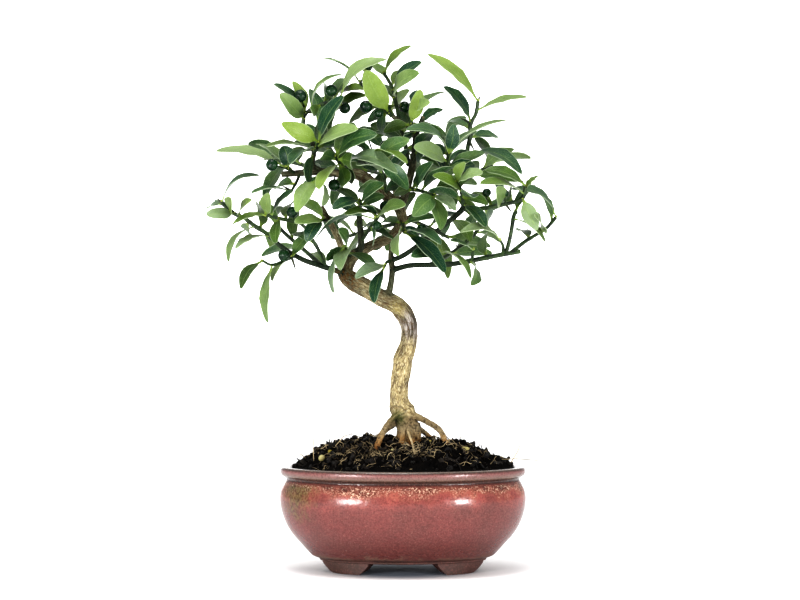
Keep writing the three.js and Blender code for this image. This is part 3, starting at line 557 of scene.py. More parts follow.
SOIL_EDGE = 75
SOIL_RISE = 23
SOIL_RIM = 82.3  # where the mound meets the pot, at its half width
MOUND_REACH = 83.5  # where its slope would end
SOIL_WALL = [(82, 74.4), (80.6, 71), (79.7, 67), (82.7, 54), (78.2, 35), (56.2, 15.4)]


def soil_height(x, y):
    across = np.hypot(x / MOUND_REACH, y / oval_depth(MOUND_REACH))
    ripple = np.sin(0.31 * x + 1.3) * np.cos(0.27 * y - 0.4) + 0.7 * np.sin(0.17 * x - 0.23 * y)
    ripple = ripple - 2.6 * np.exp(-((x - 56) / 15) ** 2) - 1.6 * np.exp(-((x + 62) / 12) ** 2)
    # The soil is washed out in front of the roots.
    ripple = ripple - 5.5 * np.exp(-((x + 10) / 24) ** 2 - ((y + 27) / 15) ** 2)
    return SOIL_EDGE + SOIL_RISE * (1 - np.minimum(1, across) ** 4) + 1.1 * ripple * (1 - across ** 6)


def noise_texture(name, kind, size, **settings):
    made = bpy.data.textures.new(name, kind)
    made.noise_scale = size * MM
    for key, value in settings.items():
        setattr(made, key, value)
    return made


bpy.ops.mesh.primitive_grid_add(x_subdivisions=150, y_subdivisions=110, size=2, location=(0, 0, 0))
soil = bpy.context.object
soil.name = "fibrous_soil"
square = points_of(soil.data)
disc_x = square[:, 0] * np.sqrt(1 - square[:, 1] ** 2 / 2) * SOIL_RIM
disc_y = square[:, 1] * np.sqrt(1 - square[:, 0] ** 2 / 2) * oval_depth(SOIL_RIM)
move_points(soil.data, placed(np.column_stack([disc_x, disc_y, soil_height(disc_x, disc_y)])))
loose = soil.vertex_groups.new(name="loose")
for vertex, reach in zip(soil.data.vertices, np.hypot(disc_x / SOIL_RIM, disc_y / oval_depth(SOIL_RIM))):
    loose.add([vertex.index], float(np.clip((1 - reach) * 14, 0, 1)), "REPLACE")
for name, kind, size, strength, level, settings in (
        ("hollows", "CLOUDS", 17, 6.6, 0.66, {}), ("clods", "VORONOI", 7, -4.6, 0.35, {}),
        ("crumbs", "CLOUDS", 2.2, 5, 0.55, {"noise_depth": 3})):
    texture = noise_texture(name, kind, size, **settings)
    finish_with(soil, "DISPLACE", texture=texture, strength=strength * MM, mid_level=level,
                vertex_group="loose")
pick(soil)
bpy.ops.object.mode_set(mode="EDIT")
bpy.ops.mesh.select_mode(type="EDGE")
bpy.ops.mesh.select_all(action="DESELECT")
bpy.ops.mesh.select_non_manifold()
before = (SOIL_RIM, soil_height(SOIL_RIM, 0.0))
for half_width, height in SOIL_WALL:
    bpy.ops.mesh.extrude_region_move()
    wide, deep = half_width / before[0], oval_depth(half_width) / oval_depth(before[0])
    bpy.ops.transform.resize(value=(wide, deep, 0 if before[0] == SOIL_RIM else 1),
                             center_override=placed((0, 0, height)))
    if before[0] != SOIL_RIM:
        bpy.ops.transform.translate(value=(0, 0, (height - before[1]) * MM))
    before = (half_width, height)
bpy.ops.mesh.fill()
face_out()
smoothed(soil, 50)
print("soil mound:", len(soil.data.polygons), "faces")

# %% [markdown]
# Crumbs, chips and roots repeat by the hundred. Each kind is modelled once with few faces, and every copy
# gets its own mesh, turn and size. They sink a little into the mound, so nothing floats.

# %% Helpers for copies
def one_piece(name, things):
    """Several objects made one, with their places in its mesh."""
    pick(things[0])
    for thing in things:
        thing.select_set(True)
    bpy.ops.object.join()
    things[0].name = name
    place_in_mesh(things[0])
    return things[0]


def copy_of(thing, matrix):
    """A copy with its own mesh, placed by a matrix."""
    twin = thing.copy()
    twin.data = thing.data.copy()
    twin.matrix_world = matrix
    bpy.context.collection.objects.link(twin)
    return twin


def set_aside(*masters):
    for master in masters:
        bpy.data.objects.remove(master)


def drawn_curve(name, points, radii, sides):
    """A tube along points in metres, with a radius in millimetres at each."""
    line = bpy.data.curves.new(name, "CURVE")
    line.dimensions = "3D"
    line.bevel_depth = MM
    line.bevel_resolution = sides
    line.use_fill_caps = True
    strand = line.splines.new("POLY")
    strand.points.add(len(points) - 1)
    for knot, at, radius in zip(strand.points, points, radii):
        knot.co = (*at, 1)
        knot.radius = radius
    tube = bpy.data.objects.new(name, line)
    bpy.context.collection.objects.link(tube)
    pick(tube)
    bpy.ops.object.convert(target="MESH")
    return bpy.context.object


ABOVE_THE_SOIL = 130
soil_surface = BVHTree.FromObject(soil, bpy.context.evaluated_depsgraph_get())


def ground_at(x, y):
    """The height of the clods at a place, in millimetres."""
    hit = soil_surface.ray_cast(Vector(placed((x, y, ABOVE_THE_SOIL))), Vector((0, 0, -1)))[0]
    return hit.z / MM


def scatter_spot(dice, reach):
    """A random place on the mound and the way its ground faces."""
    while True:
        x, y = dice.uniform(-1, 1), dice.uniform(-1, 1)
        if math.hypot(x, y) < reach:
            break
    x, y = x * SOIL_RIM, y * oval_depth(SOIL_RIM)
    slope_x = (soil_height(x + 1, y) - soil_height(x - 1, y)) / 2
    slope_y = (soil_height(x, y + 1) - soil_height(x, y - 1)) / 2
    return np.array([x, y, ground_at(x, y)]), Vector((-slope_x, -slope_y, 1)).normalized()


def laid(dice, at, up, size, lift):
    """A matrix that lays a piece on the ground with a random turn about its normal."""
    upright, spin = up.to_track_quat("Z", "Y").to_matrix().to_4x4(), dice.uniform(0, math.tau)
    turn = upright @ Matrix.Rotation(spin, 4, "Z")
    return Matrix.Translation(placed(at + np.array(up) * lift)) @ turn @ Matrix.Diagonal((*size, 1))


print("ready to scatter")

# %% Crumbs and bark chips
CRUMBS, CHIPS = 700, 330
dice = random.Random(3)
crumb_masters = []
for index in range(4):
    bpy.ops.mesh.primitive_ico_sphere_add(subdivisions=1, radius=1 * MM)
    crumb = bpy.context.object
    finish_with(crumb, "SUBSURF", levels=1, subdivision_type="SIMPLE")
    rough = noise_texture(f"crumb_{index}", "CLOUDS", 0.35 + 0.12 * index)
    finish_with(crumb, "DISPLACE", texture=rough, strength=2.0 * MM)
    crumb_masters.append(crumb)
bpy.ops.mesh.primitive_cube_add(size=2 * MM)
chip = bpy.context.object
finish_with(chip, "BEVEL", width=0.35 * MM, segments=1)
edit_all()
bpy.ops.mesh.subdivide(number_cuts=1, fractal=0.5, seed=2)
bpy.ops.object.mode_set(mode="OBJECT")
scattered = []
for index in range(CRUMBS):
    at, up = scatter_spot(dice, 0.985)
    grain_size = 0.5 + 2 * dice.random() ** 3
    size = [grain_size * dice.uniform(0.7, 1.25) for _ in range(3)]
    scattered.append(copy_of(crumb_masters[index % 4], laid(dice, at, up, size, 0.3 * grain_size)))
for _ in range(CHIPS):
    at, up = scatter_spot(dice, 0.97)
    tilted = (up + Vector((dice.gauss(0, 0.9), dice.gauss(0, 0.9), 0))).normalized()
    size = (dice.uniform(1.2, 4.8), dice.uniform(0.3, 1.1), dice.uniform(0.15, 0.4))
    scattered.append(copy_of(chip, laid(dice, at, tilted, size, 0.7)))
crumbs_piece = one_piece("soil_crumbs_and_chips", scattered)
set_aside(*crumb_masters, chip)
print("crumbs and chips:", len(crumbs_piece.data.polygons), "faces")

# %% [markdown]
# Pale dead roots lie all over the mix, most of them in front, where the soil was washed out. They could be
# hair, but hair is lost when the tree is exported. So eight wandering strands are drawn as thin curves and
# copied, and the few hair roots that stand up are drawn one by one.

# %% Roots and fibres in the soil
FIBRES = 420


def fibre(name, dice, reach, thickness):
    """A wandering strand about the origin, in millimetres."""
    heading, steps = dice.uniform(0, math.tau), 9
    at = np.array([0.0, 0.0, 0.0])
    line = [at]
    for step in range(steps):
        heading += dice.gauss(0, 0.3)
        at = at + np.array([math.cos(heading), math.sin(heading), 0]) * reach / steps
        line.append(np.array([at[0], at[1], 0.7 * math.sin(step * 1.3) * reach / 14]))
    middle = np.mean(line, axis=0)
    radii = [thickness * (1 - 0.65 * step / steps) for step in range(steps + 1)]
    return drawn_curve(name, (np.array(line) - middle) * MM, radii, sides=0)


fibre_masters = [fibre(f"fibre_{index}", dice, 10 + 2.4 * index, 0.19 + 0.035 * (index % 4))
                 for index in range(8)]
strands = []
for index in range(FIBRES):
    at, up = scatter_spot(dice, 0.93)
    if index % 2 == 0:
        at[0], at[1] = at[0] * 0.75 - 4, at[1] * 0.35 - 32
        at[2] = ground_at(at[0], at[1])
    tilted = (up + Vector((dice.gauss(0, 0.4), dice.gauss(0, 0.4), 0))).normalized()
    size = [dice.uniform(0.4, 1.05)] * 3
    strands.append(copy_of(fibre_masters[index % 8], laid(dice, at, tilted, size, 0.6)))
set_aside(*fibre_masters)
STRAY_ROOTS = [  # hair roots that stand out of the soil: x, z, depth along each
    [(-66, 81, -24), (-66.5, 90, -25), (-66, 98, -25), (-65, 105, -25)],
    [(-72, 83, -14), (-76, 86, -16), (-79, 84, -18), (-81, 87, -18)],
    [(-50, 92, -14), (-44, 99, -15), (-38, 101, -16), (-33, 98, -16)],
    [(80, 80, -12), (85, 88, -13), (87, 94, -13), (84, 98, -13)],
    [(72, 82, -14), (84, 82.5, -16), (92, 82, -17), (101, 81, -17)],
    [(-30, 92, -18), (-40, 90, -25), (-52, 84, -27), (-62, 82, -26)],
]
for line in STRAY_ROOTS:
    strands.append(drawn_curve("stray_root", placed([seen(*at) for at in line]), [0.28, 0.24, 0.2, 0.12],
                               sides=0))
CREEPING_ROOT = [(3.5, 103, -10.5), (5, 99, -15), (6.5, 95, -30), (7.5, 91, -42), (8.5, 86, -50)]
strands.append(drawn_curve("creeping_root", placed([seen(*at) for at in CREEPING_ROOT]),
                           [1, 0.9, 0.8, 0.65, 0.4], sides=1))
fibres_piece = one_piece("soil_fibres", strands)
print("fibres:", len(fibres_piece.data.polygons), "faces")

# %% [markdown]
# A few yellow grains of slow fertiliser lie on the soil. Each is a dented ball, pressed to its own form and
# a little sunk in, and its place was read off the front.

# %% Fertiliser grains
bpy.ops.mesh.primitive_uv_sphere_add(segments=16, ring_count=10, radius=1 * MM)
bead = bpy.context.object
finish_with(bead, "DISPLACE", texture=noise_texture("bead", "CLOUDS", 1.1), strength=0.25 * MM)
BEADS = [((-60, 76.6, -26.5), (2.5, 2.5, 2.4)), ((-54, 82.5, -20), (1.7, 1.4, 1.3)),
         ((46, 80.5, -27), (3.2, 1.8, 1.6)), ((-37, 79.6, -30), (1.3, 1, 0.9)),
         ((20, 86, -27), (1.1, 1, 0.9)), ((-8, 82, -33), (1, 0.8, 0.8))]
beads = []
for at, size in BEADS:
    spot = seen(*at)
    spot[2] = ground_at(spot[0], spot[1]) + size[2] * 0.5
    beads.append(copy_of(bead, Matrix.Translation(placed(spot)) @ Matrix.Diagonal((*size, 1))))
set_aside(bead)
beads_piece = one_piece("fertiliser_grains", beads)
smoothed(beads_piece)
print("grains:", len(beads))

# %% [markdown]
# Everything on the soil is dull and earthy, so one finish with four settings does: two colours in soft
# spots, and a fine relief that catches the light.

# %% Soil finishes
def mottled_finish(name, dark, light, roughness, size, relief, gloss=0.5):
    """Two colours in soft spots, with a fine relief: its noise, then its depth and strength."""
    finish = new_finish(name)
    place = millimetres()
    spots = ranged(grain(place, size, 3), 0.35, 0.65)
    feed(shader, {"Base Color": mixed(spots, dark, light), "Roughness": roughness,
                  "Specular IOR Level": gloss})
    noise_of, depth, strength = relief
    bumped(grain(place, *noise_of), depth, strength)
    return finish


EARTH_RELIEF = ((1.6, 4, 0.7), 0.0006, 0.9)
for part, name, dark, light, roughness, size, gloss in (
        (soil, "dark_soil", (0.002, 0.0017, 0.0016), (0.0055, 0.004, 0.003), 0.8, 0.35, 0.1),
        (crumbs_piece, "soil_crumb", (0.002, 0.0017, 0.0016), (0.021, 0.015, 0.01), 0.5, 0.12, 0.36),
        (fibres_piece, "dry_root", (0.07, 0.048, 0.026), (0.76, 0.61, 0.37), 0.6, 0.07, 0.2),
        (beads_piece, "fertiliser", (0.3, 0.24, 0.05), (0.56, 0.52, 0.28), 0.5, 0.06, 0.2)):
    part.data.materials.append(mottled_finish(name, dark, light, roughness, size, EARTH_RELIEF, gloss))
    hand_over(part, "soil", "soil")

# %% [markdown]
# ## How the tree grew
# The wood follows smooth lines through a few readings: across, up, depth behind the trunk, and radius.
# Where a limb starts inside another, the two are one piece of wood. The lines are Catmull-Rom curves, the
# kind that passes through every reading.

# %% The wood's lines
ROOTS = {
    "left": [(-2, 117, -4, 2.4), (-8, 112, -8, 2), (-13, 105, -12, 2.2), (-19.5, 91, -20, 2.2),
        (-24, 76, -26, 1.6)],
    "right": [(8, 115, -3, 3), (12, 113, -6, 2.4), (18, 110, -10, 2.3), (27, 104, -14, 2.1),
        (32, 94, -18, 2), (38, 77, -22, 1.4)],
    "middle": [(0, 108, -6, 2.6), (0, 100, -10, 2.2), (-1, 93, -12, 2), (-3, 76, -14, 1.5)],
    "shoulder": [(9, 109, -3, 4.5), (10, 100, -4, 4.2), (11, 90, -4, 3.4), (14, 70, -6, 2)],
    "thin": [(4, 105, -7, 1.4), (8, 96, -10, 1.2), (9, 84, -11, 1)],
    "backLeft": [(-2, 111, 5, 3.5), (-12, 104, 14, 2.6), (-22, 94, 22, 2.2), (-30, 76, 28, 1.5)],
    "backRight": [(6, 109, 6, 3.5), (16, 102, 15, 2.6), (25, 92, 24, 2.2), (32, 74, 30, 1.5)],
}
LIMBS = {
    "main": [(-43, 220, 3, 5), (-38, 231, 6, 4.6), (-24, 240, 10, 4), (-10, 246, 12, 3.8), (-1, 257, 12, 4),
        (-3, 268, 11, 4.2), (-12, 277, 8, 4.3), (-21, 285, 5, 4.4), (-33, 293, 3, 4.2), (-44, 293, 1, 3.3),
        (-60, 295, -1, 2.5), (-76, 294, -3, 2.2), (-90, 293, -5, 2)],
    "upright": [(-35, 233, 7, 2.6), (-31, 241, 3, 2.2), (-32, 256, 0, 2), (-33, 270, -2, 1.9)],
    "stub": [(-43, 224, 3, 2.9), (-44, 234, 0, 2.4), (-50, 250, -4, 2.2), (-57, 262, -7, 2.1),
        (-61, 269, -8, 2.1)],
    "leader": [(-3, 267, 11, 3.4), (3, 282, 10, 2.8), (7, 300, 8, 2.4), (9, 314, 6, 2), (8, 324, 4, 1.7),
        (0, 331, 2, 1.5), (-8, 336, 1, 1.3)],
    "cutTwig": [(7, 300, 8, 1.7), (10, 315, 0, 1.4), (11, 325, -3, 1.3), (15, 336, -5, 1.3)],
    "back": [(-10, 246, 12, 3.2), (-5, 252, 24, 2.8), (-1, 262, 38, 2.4), (-5, 278, 50, 2),
        (-8, 290, 55, 1.6)],
    "right": [(-1, 257, 12, 3.2), (14, 265, 22, 2.6), (30, 275, 28, 2.3), (43, 287, 24, 2),
        (47, 300, 14, 1.7)],
    "shoot": [(-12, 199, 0, 2.8), (-9, 212, -3, 2.1), (-8, 222, -4, 2), (-9, 232, -3, 1.8),
        (-8, 243, 0, 1.6)],
    "low": [(-8.5, 222, -4, 1.9), (5, 225.5, -6, 1.7), (20, 226, -8, 1.7), (35, 226.5, -9, 1.7),
        (45, 228, -10, 1.6)],
    "diagonal": [(-9, 229, -3, 1.7), (2, 234, -8, 1.6), (20, 247, -14, 1.6), (30, 255, -15, 1.6),
        (42, 265, -14, 1.8), (46, 270.5, -13, 2)],
    "lowLeft": [(-44, 220, 3, 2.6), (-50, 222, -2, 1.9), (-60, 225, -5, 1.8), (-72, 229, -8, 1.7),
        (-80, 233, -9, 1.6), (-88, 238, -10, 1.5), (-95, 244, -10, 1.4)],
    "upLeft": [(-60, 295, -1, 2.2), (-67, 300, -3, 1.7), (-66, 309, -5, 1.6), (-68, 320, -6, 1.4),
        (-74, 331, -7, 1.2)],
}
TRUNK = [(3.5, 60, 0, 5), (3.5, 84, 0, 8.5), (3.5, 105, 0, 8.4), (0.5, 116, 0, 8.5), (-2, 122, 0, 7.6),
    (-3, 130, 0, 6.9), (-2.3, 140, 0, 6.8), (-0.5, 150, 0, 7.3), (0, 156, 0, 7), (3.3, 165, 0, 6.7),
    (4.8, 175, 1, 6.1), (4, 183, 1, 6.4), (0, 191, 1, 7), (-6, 197, 0, 6.6), (-15, 201, -1, 6.5),
    (-25, 207, -1, 6.8), (-35, 213, 0, 7), (-42, 218, 2, 6), (-44, 226, 5, 4.6)]


def point_on(path, share):
    """A place on the smooth line through a path, with all its readings."""
    path = np.asarray(path, float)
    spans = len(path) - 1
    span = min(int(share * spans), spans - 1)
    w = share * spans - span
    p1, p2 = path[span], path[span + 1]
    p0 = path[span - 1] if span > 0 else 2 * p1 - p2
    p3 = path[span + 2] if span + 2 <= spans else 2 * p2 - p1
    t0, t1 = (p2 - p0) / 2, (p3 - p1) / 2
    return p1 + t0 * w + (-3 * p1 + 3 * p2 - 2 * t0 - t1) * w ** 2 + (2 * p1 - 2 * p2 + t0 + t1) * w ** 3


def direction_on(path, share):
    low, high = max(0, share - 0.0001), min(1, share + 0.0001)
    return unit(point_on(path, high)[:3] - point_on(path, low)[:3])


def spread_out(path):
    """Readings as seen from the front, made places around the pot; the radius stays."""
    return [(*seen(*reading[:3]), *reading[3:]) for reading in path]


def line_of(path, steps_per_span=7):
    """Places and radii along the smooth line of a path of places."""
    steps = (len(path) - 1) * steps_per_span
    along = np.array([point_on(path, step / steps) for step in range(steps + 1)])
    return along[:, :3], along[:, 3]


WOOD = {"trunk": TRUNK, **{f"root_{name}": path for name, path in ROOTS.items()},
        **{f"limb_{name}": path for name, path in LIMBS.items()}}
print("lines of wood:", len(WOOD))

# %% [markdown]
# ## Trunk, roots and limbs
# Each line is drawn as a curve with a round section whose radius follows the readings. The tubes are joined
# and a voxel remesh melts them into one skin, so a limb grows out of the trunk without a seam. The skin is
# then given its bark: long furrows that follow each limb, lumps, and knots where old branches were cut off.

# %% One skin of wood
VOXEL = 0.59
THIN_LIMB = 2.6
SHRINKAGE = 0.35  # what a thin limb's radius loses when the skin is smoothed
ROOT_SIZE, BACK_ROOT_SIZE = 0.84, 0.62  # over the reading, since bark is added later
TRUNK_END = (0.97, 0.9, 0.8, 0.6)  # the trunk narrows into the main limb


def wobble(along, name):
    """How much a limb's radius swells and shrinks along it."""
    seed = sum(map(ord, name)) * 0.37
    return np.array([1 + 0.07 * noise.noise(Vector((step * 0.22, seed, 0))) for step in range(len(along))])


wood_lines = {name: line_of(spread_out(path)) for name, path in WOOD.items()}
tubes = []
for name, (along, radii) in wood_lines.items():
    radii = radii * wobble(along, name)
    if name.startswith("root"):
        radii *= BACK_ROOT_SIZE if name.startswith("root_back") else ROOT_SIZE
    radii += SHRINKAGE * (radii < THIN_LIMB)
    if name == "trunk":
        radii[-len(TRUNK_END):] *= TRUNK_END
    tubes.append(drawn_curve(name, placed(along), radii, sides=4))
wood = one_piece("trunk_and_limbs_with_bark", tubes)
finish_with(wood, "REMESH", mode="VOXEL", voxel_size=VOXEL * MM)
finish_with(wood, "SMOOTH", factor=0.5, iterations=4)
print("wood:", len(wood.data.polygons), "faces")

# %% [markdown]
# The remesh forgets which limb a point came from. So each point looks for the limb it lies nearest to, and
# takes from it how far along it lies, how thick and how green the wood is there, and which way is out.

# %% Where on the wood a point is
GREEN_OF_LIMB = {"limb_stub": 0.12, "limb_upright": 0.9, "limb_leader": 0.55, "limb_cutTwig": 0.85,
                 "limb_back": 0.3, "limb_right": 0.55, "limb_shoot": 0.7, "limb_low": 1, "limb_diagonal": 1,
                 "limb_lowLeft": 1, "limb_upLeft": 0.8}
centres, centre_notes = [], []
for name, (along, radii) in wood_lines.items():
    travelled = 0.0
    for step, (at, radius) in enumerate(zip(along, radii)):
        ahead = unit(along[min(step + 1, len(along) - 1)] - along[max(step - 1, 0)])
        travelled += np.linalg.norm(at - along[step - 1]) if step else 0
        green = GREEN_OF_LIMB.get(name, 0)
        if name == "limb_main":
            green = float(np.clip((step / len(along) - 0.7) * 3.5, 0, 0.75))
        centres.append(at)
        centre_notes.append((travelled, radius, green, float(name.startswith("root")), *ahead))
centres, centre_notes = np.array(centres), np.array(centre_notes)
nearest = KDTree(len(centres))
for index, at in enumerate(centres):
    nearest.insert(at, index)
nearest.balance()

skin = (points_of(wood.data) - POT_MIDDLE) / MM
chosen = np.empty(len(skin), int)
for index, at in enumerate(skin):
    found = nearest.find_n(at, 5)
    chosen[index] = min(found, key=lambda hit: hit[2] - 0.9 * centre_notes[hit[1], 1])[1]
notes = centre_notes[chosen]
outward = skin - centres[chosen]
ahead = notes[:, 4:7]
outward -= ahead * np.sum(outward * ahead, axis=1, keepdims=True)
outward /= np.maximum(np.linalg.norm(outward, axis=1, keepdims=True), 1e-6)
girth = notes[:, 1]
# A place on the straightened limb: round it in x and y, along it in z.
reference = np.where(np.abs(ahead[:, 1:2]) > 0.9, [[1.0, 0, 0]], [[0, 1.0, 0]])
first = np.cross(ahead, reference)
first /= np.linalg.norm(first, axis=1, keepdims=True)
second = np.cross(ahead, first)
bark_place = np.column_stack([np.sum(outward * first, axis=1) * girth,
                              np.sum(outward * second, axis=1) * girth,
                              skin[:, 2] * 0.6 + notes[:, 0] * 0.4])
print("skin points:", len(skin))

# %% [markdown]
# Furrows could be left to the finish, but they and the knots also break the outline, so every point of the
# skin is really moved in or out. The noise is stretched along the limb, as bark splits lengthwise.

# %% Bark relief
KNOTS = [((-3, 154, -7), 4.2, 0.9), ((-3.5, 135, -7), 3.6, 0.8), ((5, 176, -6), 3.2, 0.5),
         ((-8, 201, -6), 3.5, 0.6), ((2, 122, -7), 3.5, -0.6), ((-30, 213, -6), 3.4, 0.6),
         ((-5, 262, 8), 3, 0.6), ((-20, 285, 1), 2.8, 0.5), ((6, 148, -6), 2.6, 0.4),
         ((-42, 219, -4), 3.6, 0.7)]
SMOOTH_TWIG = 1.7  # thinner limbs have smooth skin
STOUT = 6  # only the trunk is thicker
FLARE_TOP, FLARE_REACH, COLLAR = 114, 16, 116  # the foot of the trunk widens down from here
woody = np.clip(1 - notes[:, 2] * 1.5, 0, 1)
relief = np.zeros(len(skin))
for index in range(len(skin)):
    if girth[index] < SMOOTH_TWIG or woody[index] == 0:
        continue
    x, y, z = bark_place[index]
    furrow = noise.ridged_multi_fractal(Vector((x * 0.42, y * 0.42, z * 0.07)), 0.9, 2.2, 3, 1.0, 2.0)
    lump = noise.noise(Vector((x * 0.16, y * 0.16, z * 0.13)))
    crease = noise.noise(Vector((x * 0.9, y * 0.9, z * 0.32 + 9)))
    depth = 0.75 if notes[index, 3] else min(1, girth[index] / 6.5)
    relief[index] = (0.26 * (1.1 - furrow) + 0.35 * lump + 0.2 * crease) * depth * woody[index]
for at, reach, height in KNOTS:
    away = np.linalg.norm(skin - np.array(at), axis=1) / reach
    swell = height * np.exp(-away ** 2 * 1.6)
    rings = 0.22 * np.cos(away * 9) * np.exp(-(away * 1.1) ** 2)
    relief += (swell + rings) * (away < 2.5)
flare = np.clip((FLARE_TOP - skin[:, 2]) / FLARE_REACH, 0, 1) * (girth > STOUT)
flutes = np.cos(np.arctan2(outward[:, 1], outward[:, 0]) * 5 + 0.4)
relief += flare * (0.8 + 1.4 * flare) * flutes
for index in np.nonzero((flare > 0) | (notes[:, 3] > 0))[0]:
    x, y, z = skin[index] * 0.34
    relief[index] += 0.75 * noise.noise(Vector((x, y, z))) * (1 if flare[index] > 0 else 0.5)
    relief[index] += 0.35 * noise.noise(Vector((x * 2.6, y * 2.6, z * 2.6)))
relief += 0.9 * np.clip(1 - np.abs(skin[:, 2] - COLLAR) / FLARE_REACH, 0, 1) * (girth > STOUT)
move_points(wood.data, placed(skin + outward * relief[:, None]))


def note_points(mesh, name, values, kind="FLOAT"):
    attribute = mesh.attributes.new(name, kind, "POINT")
    field = "vector" if kind == "FLOAT_VECTOR" else "value"
    attribute.data.foreach_set(field, np.asarray(values, float).ravel())


CUTS = [(-61, 269, -8), (46, 270.5, -13), (15, 336, -5), (-33, 270, -2), (-8, 243, 0)]  # pale cut ends
from_cuts = [np.linalg.norm(skin - seen(*at), axis=1) for at in CUTS]
cut = np.clip(2.2 - np.min(from_cuts, axis=0), 0, 1)
note_points(wood.data, "bark_place", bark_place, "FLOAT_VECTOR")
# The hollow shade is where the relief sinks in; the bark finish paints shade there.
for name, values in (("girth", girth), ("green", notes[:, 2]), ("cut", cut * 0.6),
                     ("root", notes[:, 3] * np.clip((119 - skin[:, 2]) / 8, 0, 1)),
                     ("hollow", np.clip(0.5 - relief * 0.9, 0, 1))):
    note_points(wood.data, name, values)
smoothed(wood)
print("relief from", relief.min().round(2), "to", relief.max().round(2), "mm")

# %% [markdown]
# ## Bark
# Old bark is a pale tan with dark furrows, greener and smoother on the young limbs, orange on the roots.
# The furrows are stretched along each limb, so the noise reads the place on the straightened limb that was
# stored with the mesh.

# %% Bark finish
def minus(first, second):
    return calculated("SUBTRACT", first, second)


def stored(name, output="Fac"):
    """What the mesh carries at each point under a name."""
    return add_node("Attribute", attribute_name=name).outputs[output]


bark = new_finish("furrowed_bark")
along_limb, place = stored("bark_place", "Vector"), millimetres()
green_share, root_share, hollow, cut_share = (stored(name) for name in ("green", "root", "hollow", "cut"))


def stretched(*scale):
    return vectors("MULTIPLY", along_limb, scale)


streaks = grain(stretched(1.25, 1.25, 0.5), 1.0, 4, 0.65)
blotches = grain(stretched(0.2, 0.2, 0.1), 1.0, 3)
fine = grain(stretched(2.2, 2.2, 0.9), 1.0, 3, 0.6)
coarse = grain(place, 0.5, 4, 0.65)
frayed = ranged(streaks, 0.3, 0.7, -4.0, 4.0)
shaking = add_node("TexNoise", {"Vector": stretched(0.5, 0.5, 0.3), "Scale": 1.0, "Detail": 2.0})
shaken = vectors("ADD", stretched(0.42, 0.42, 0.17), shaking.outputs["Color"])
cracks = ranged(cells(shaken, 1.0, "DISTANCE_TO_EDGE"), 0.02, 0.15, 1.0, 0.0)
height = add_node("SeparateXYZ", {0: place}).outputs["Z"]
old = colours_along(streaks, [(0.28, (0.1, 0.065, 0.028)), (0.4, (0.36, 0.275, 0.125)),
                              (0.5, (0.56, 0.46, 0.245)), (0.64, (0.72, 0.63, 0.41))])
# Towards the crown the bark is darker and greyer: painted shade under the crown.
crown_shaded_bark = colours_along(streaks, [(0.3, (0.028, 0.024, 0.014)), (0.43, (0.115, 0.1, 0.055)),
                               (0.56, (0.22, 0.205, 0.12)), (0.7, (0.37, 0.365, 0.25))])
crown_shade = plus(ranged(height, 150.0, 215.0, 0.0, 0.95), ranged(blotches, 0.35, 0.65, -0.3, 0.3))
colour = mixed(ranged(crown_shade, 0.0, 1.0), old, crown_shaded_bark)
# On the outside of the bend it is grey, and lichen grows above.
long_streaks = grain(stretched(0.5, 0.5, 0.05), 1.0, 3, 0.6)
grey = colours_along(long_streaks, [(0.4, (0.025, 0.022, 0.022)), (0.47, (0.15, 0.13, 0.12)),
                                    (0.58, (0.45, 0.41, 0.385))])
to_bend = plus(distance(place, (9.0, -4.0, 182.0)), frayed)
colour = mixed(ranged(to_bend, 7.0, 17.0, 0.9, 0.0), colour, grey)
to_lichen = distance(place, (-4.0, -6.0, 194.0))
lichen = times(ranged(to_lichen, 3.0, 9.0, 1.0, 0.0), ranged(fine, 0.44, 0.56, 0.0, 0.75))
colour = mixed(lichen, colour, (0.36, 0.29, 0.07))
flecks = times(ranged(fine, 0.58, 0.68), ranged(streaks, 0.6, 0.4))
colour = mixed(times(flecks, 0.7), colour, (0.05, 0.03, 0.014))
colour = mixed(times(cracks, ranged(blotches, 0.38, 0.62, 0.25, 0.85)), colour, (0.1, 0.06, 0.026))
# Painted shade: the bark is darker where its relief sinks in.
colour = mixed(ranged(hollow, 0.55, 0.9, 0.0, 0.85), colour, (0.06, 0.038, 0.02))
# The foot of the trunk is scaly, and its roots are orange.
scales = cells(place, 0.36, "DISTANCE_TO_EDGE")
scaly = ranged(plus(scales, ranged(fine, 0.3, 0.7, -0.09, 0.09)), 0.0, 0.12, 1.0, 0.0)
stump = mixed(times(scaly, 0.85), colours_along(coarse, [
    (0.37, (0.028, 0.018, 0.008)), (0.46, (0.22, 0.145, 0.055)), (0.58, (0.62, 0.46, 0.2))]),
    (0.018, 0.011, 0.005))
colour = mixed(ranged(plus(height, frayed), 104.0, 114.0, 0.9, 0.0), colour, stump)
root_height = plus(height, ranged(fine, 0.3, 0.7, -4.0, 4.0))
root = colours_along(ranged(root_height, 90.0, 114.0), [
    (0.0, (0.3, 0.11, 0.025)), (0.3, (0.44, 0.25, 0.09)), (0.55, (0.42, 0.33, 0.19)),
    (0.72, (0.3, 0.23, 0.13)), (0.9, (0.27, 0.2, 0.1))])
root = mixed(ranged(coarse, 0.5, 0.62, 0.0, 0.8), root, (0.045, 0.03, 0.016))
colour = mixed(ranged(root_share, 0.2, 0.8, 0.0, 0.95), colour, root)
young = colours_along(streaks, [(0.34, (0.006, 0.01, 0.006)), (0.5, (0.016, 0.03, 0.014)),
                                (0.7, (0.06, 0.085, 0.045))])
colour = mixed(green_share, colour, young)
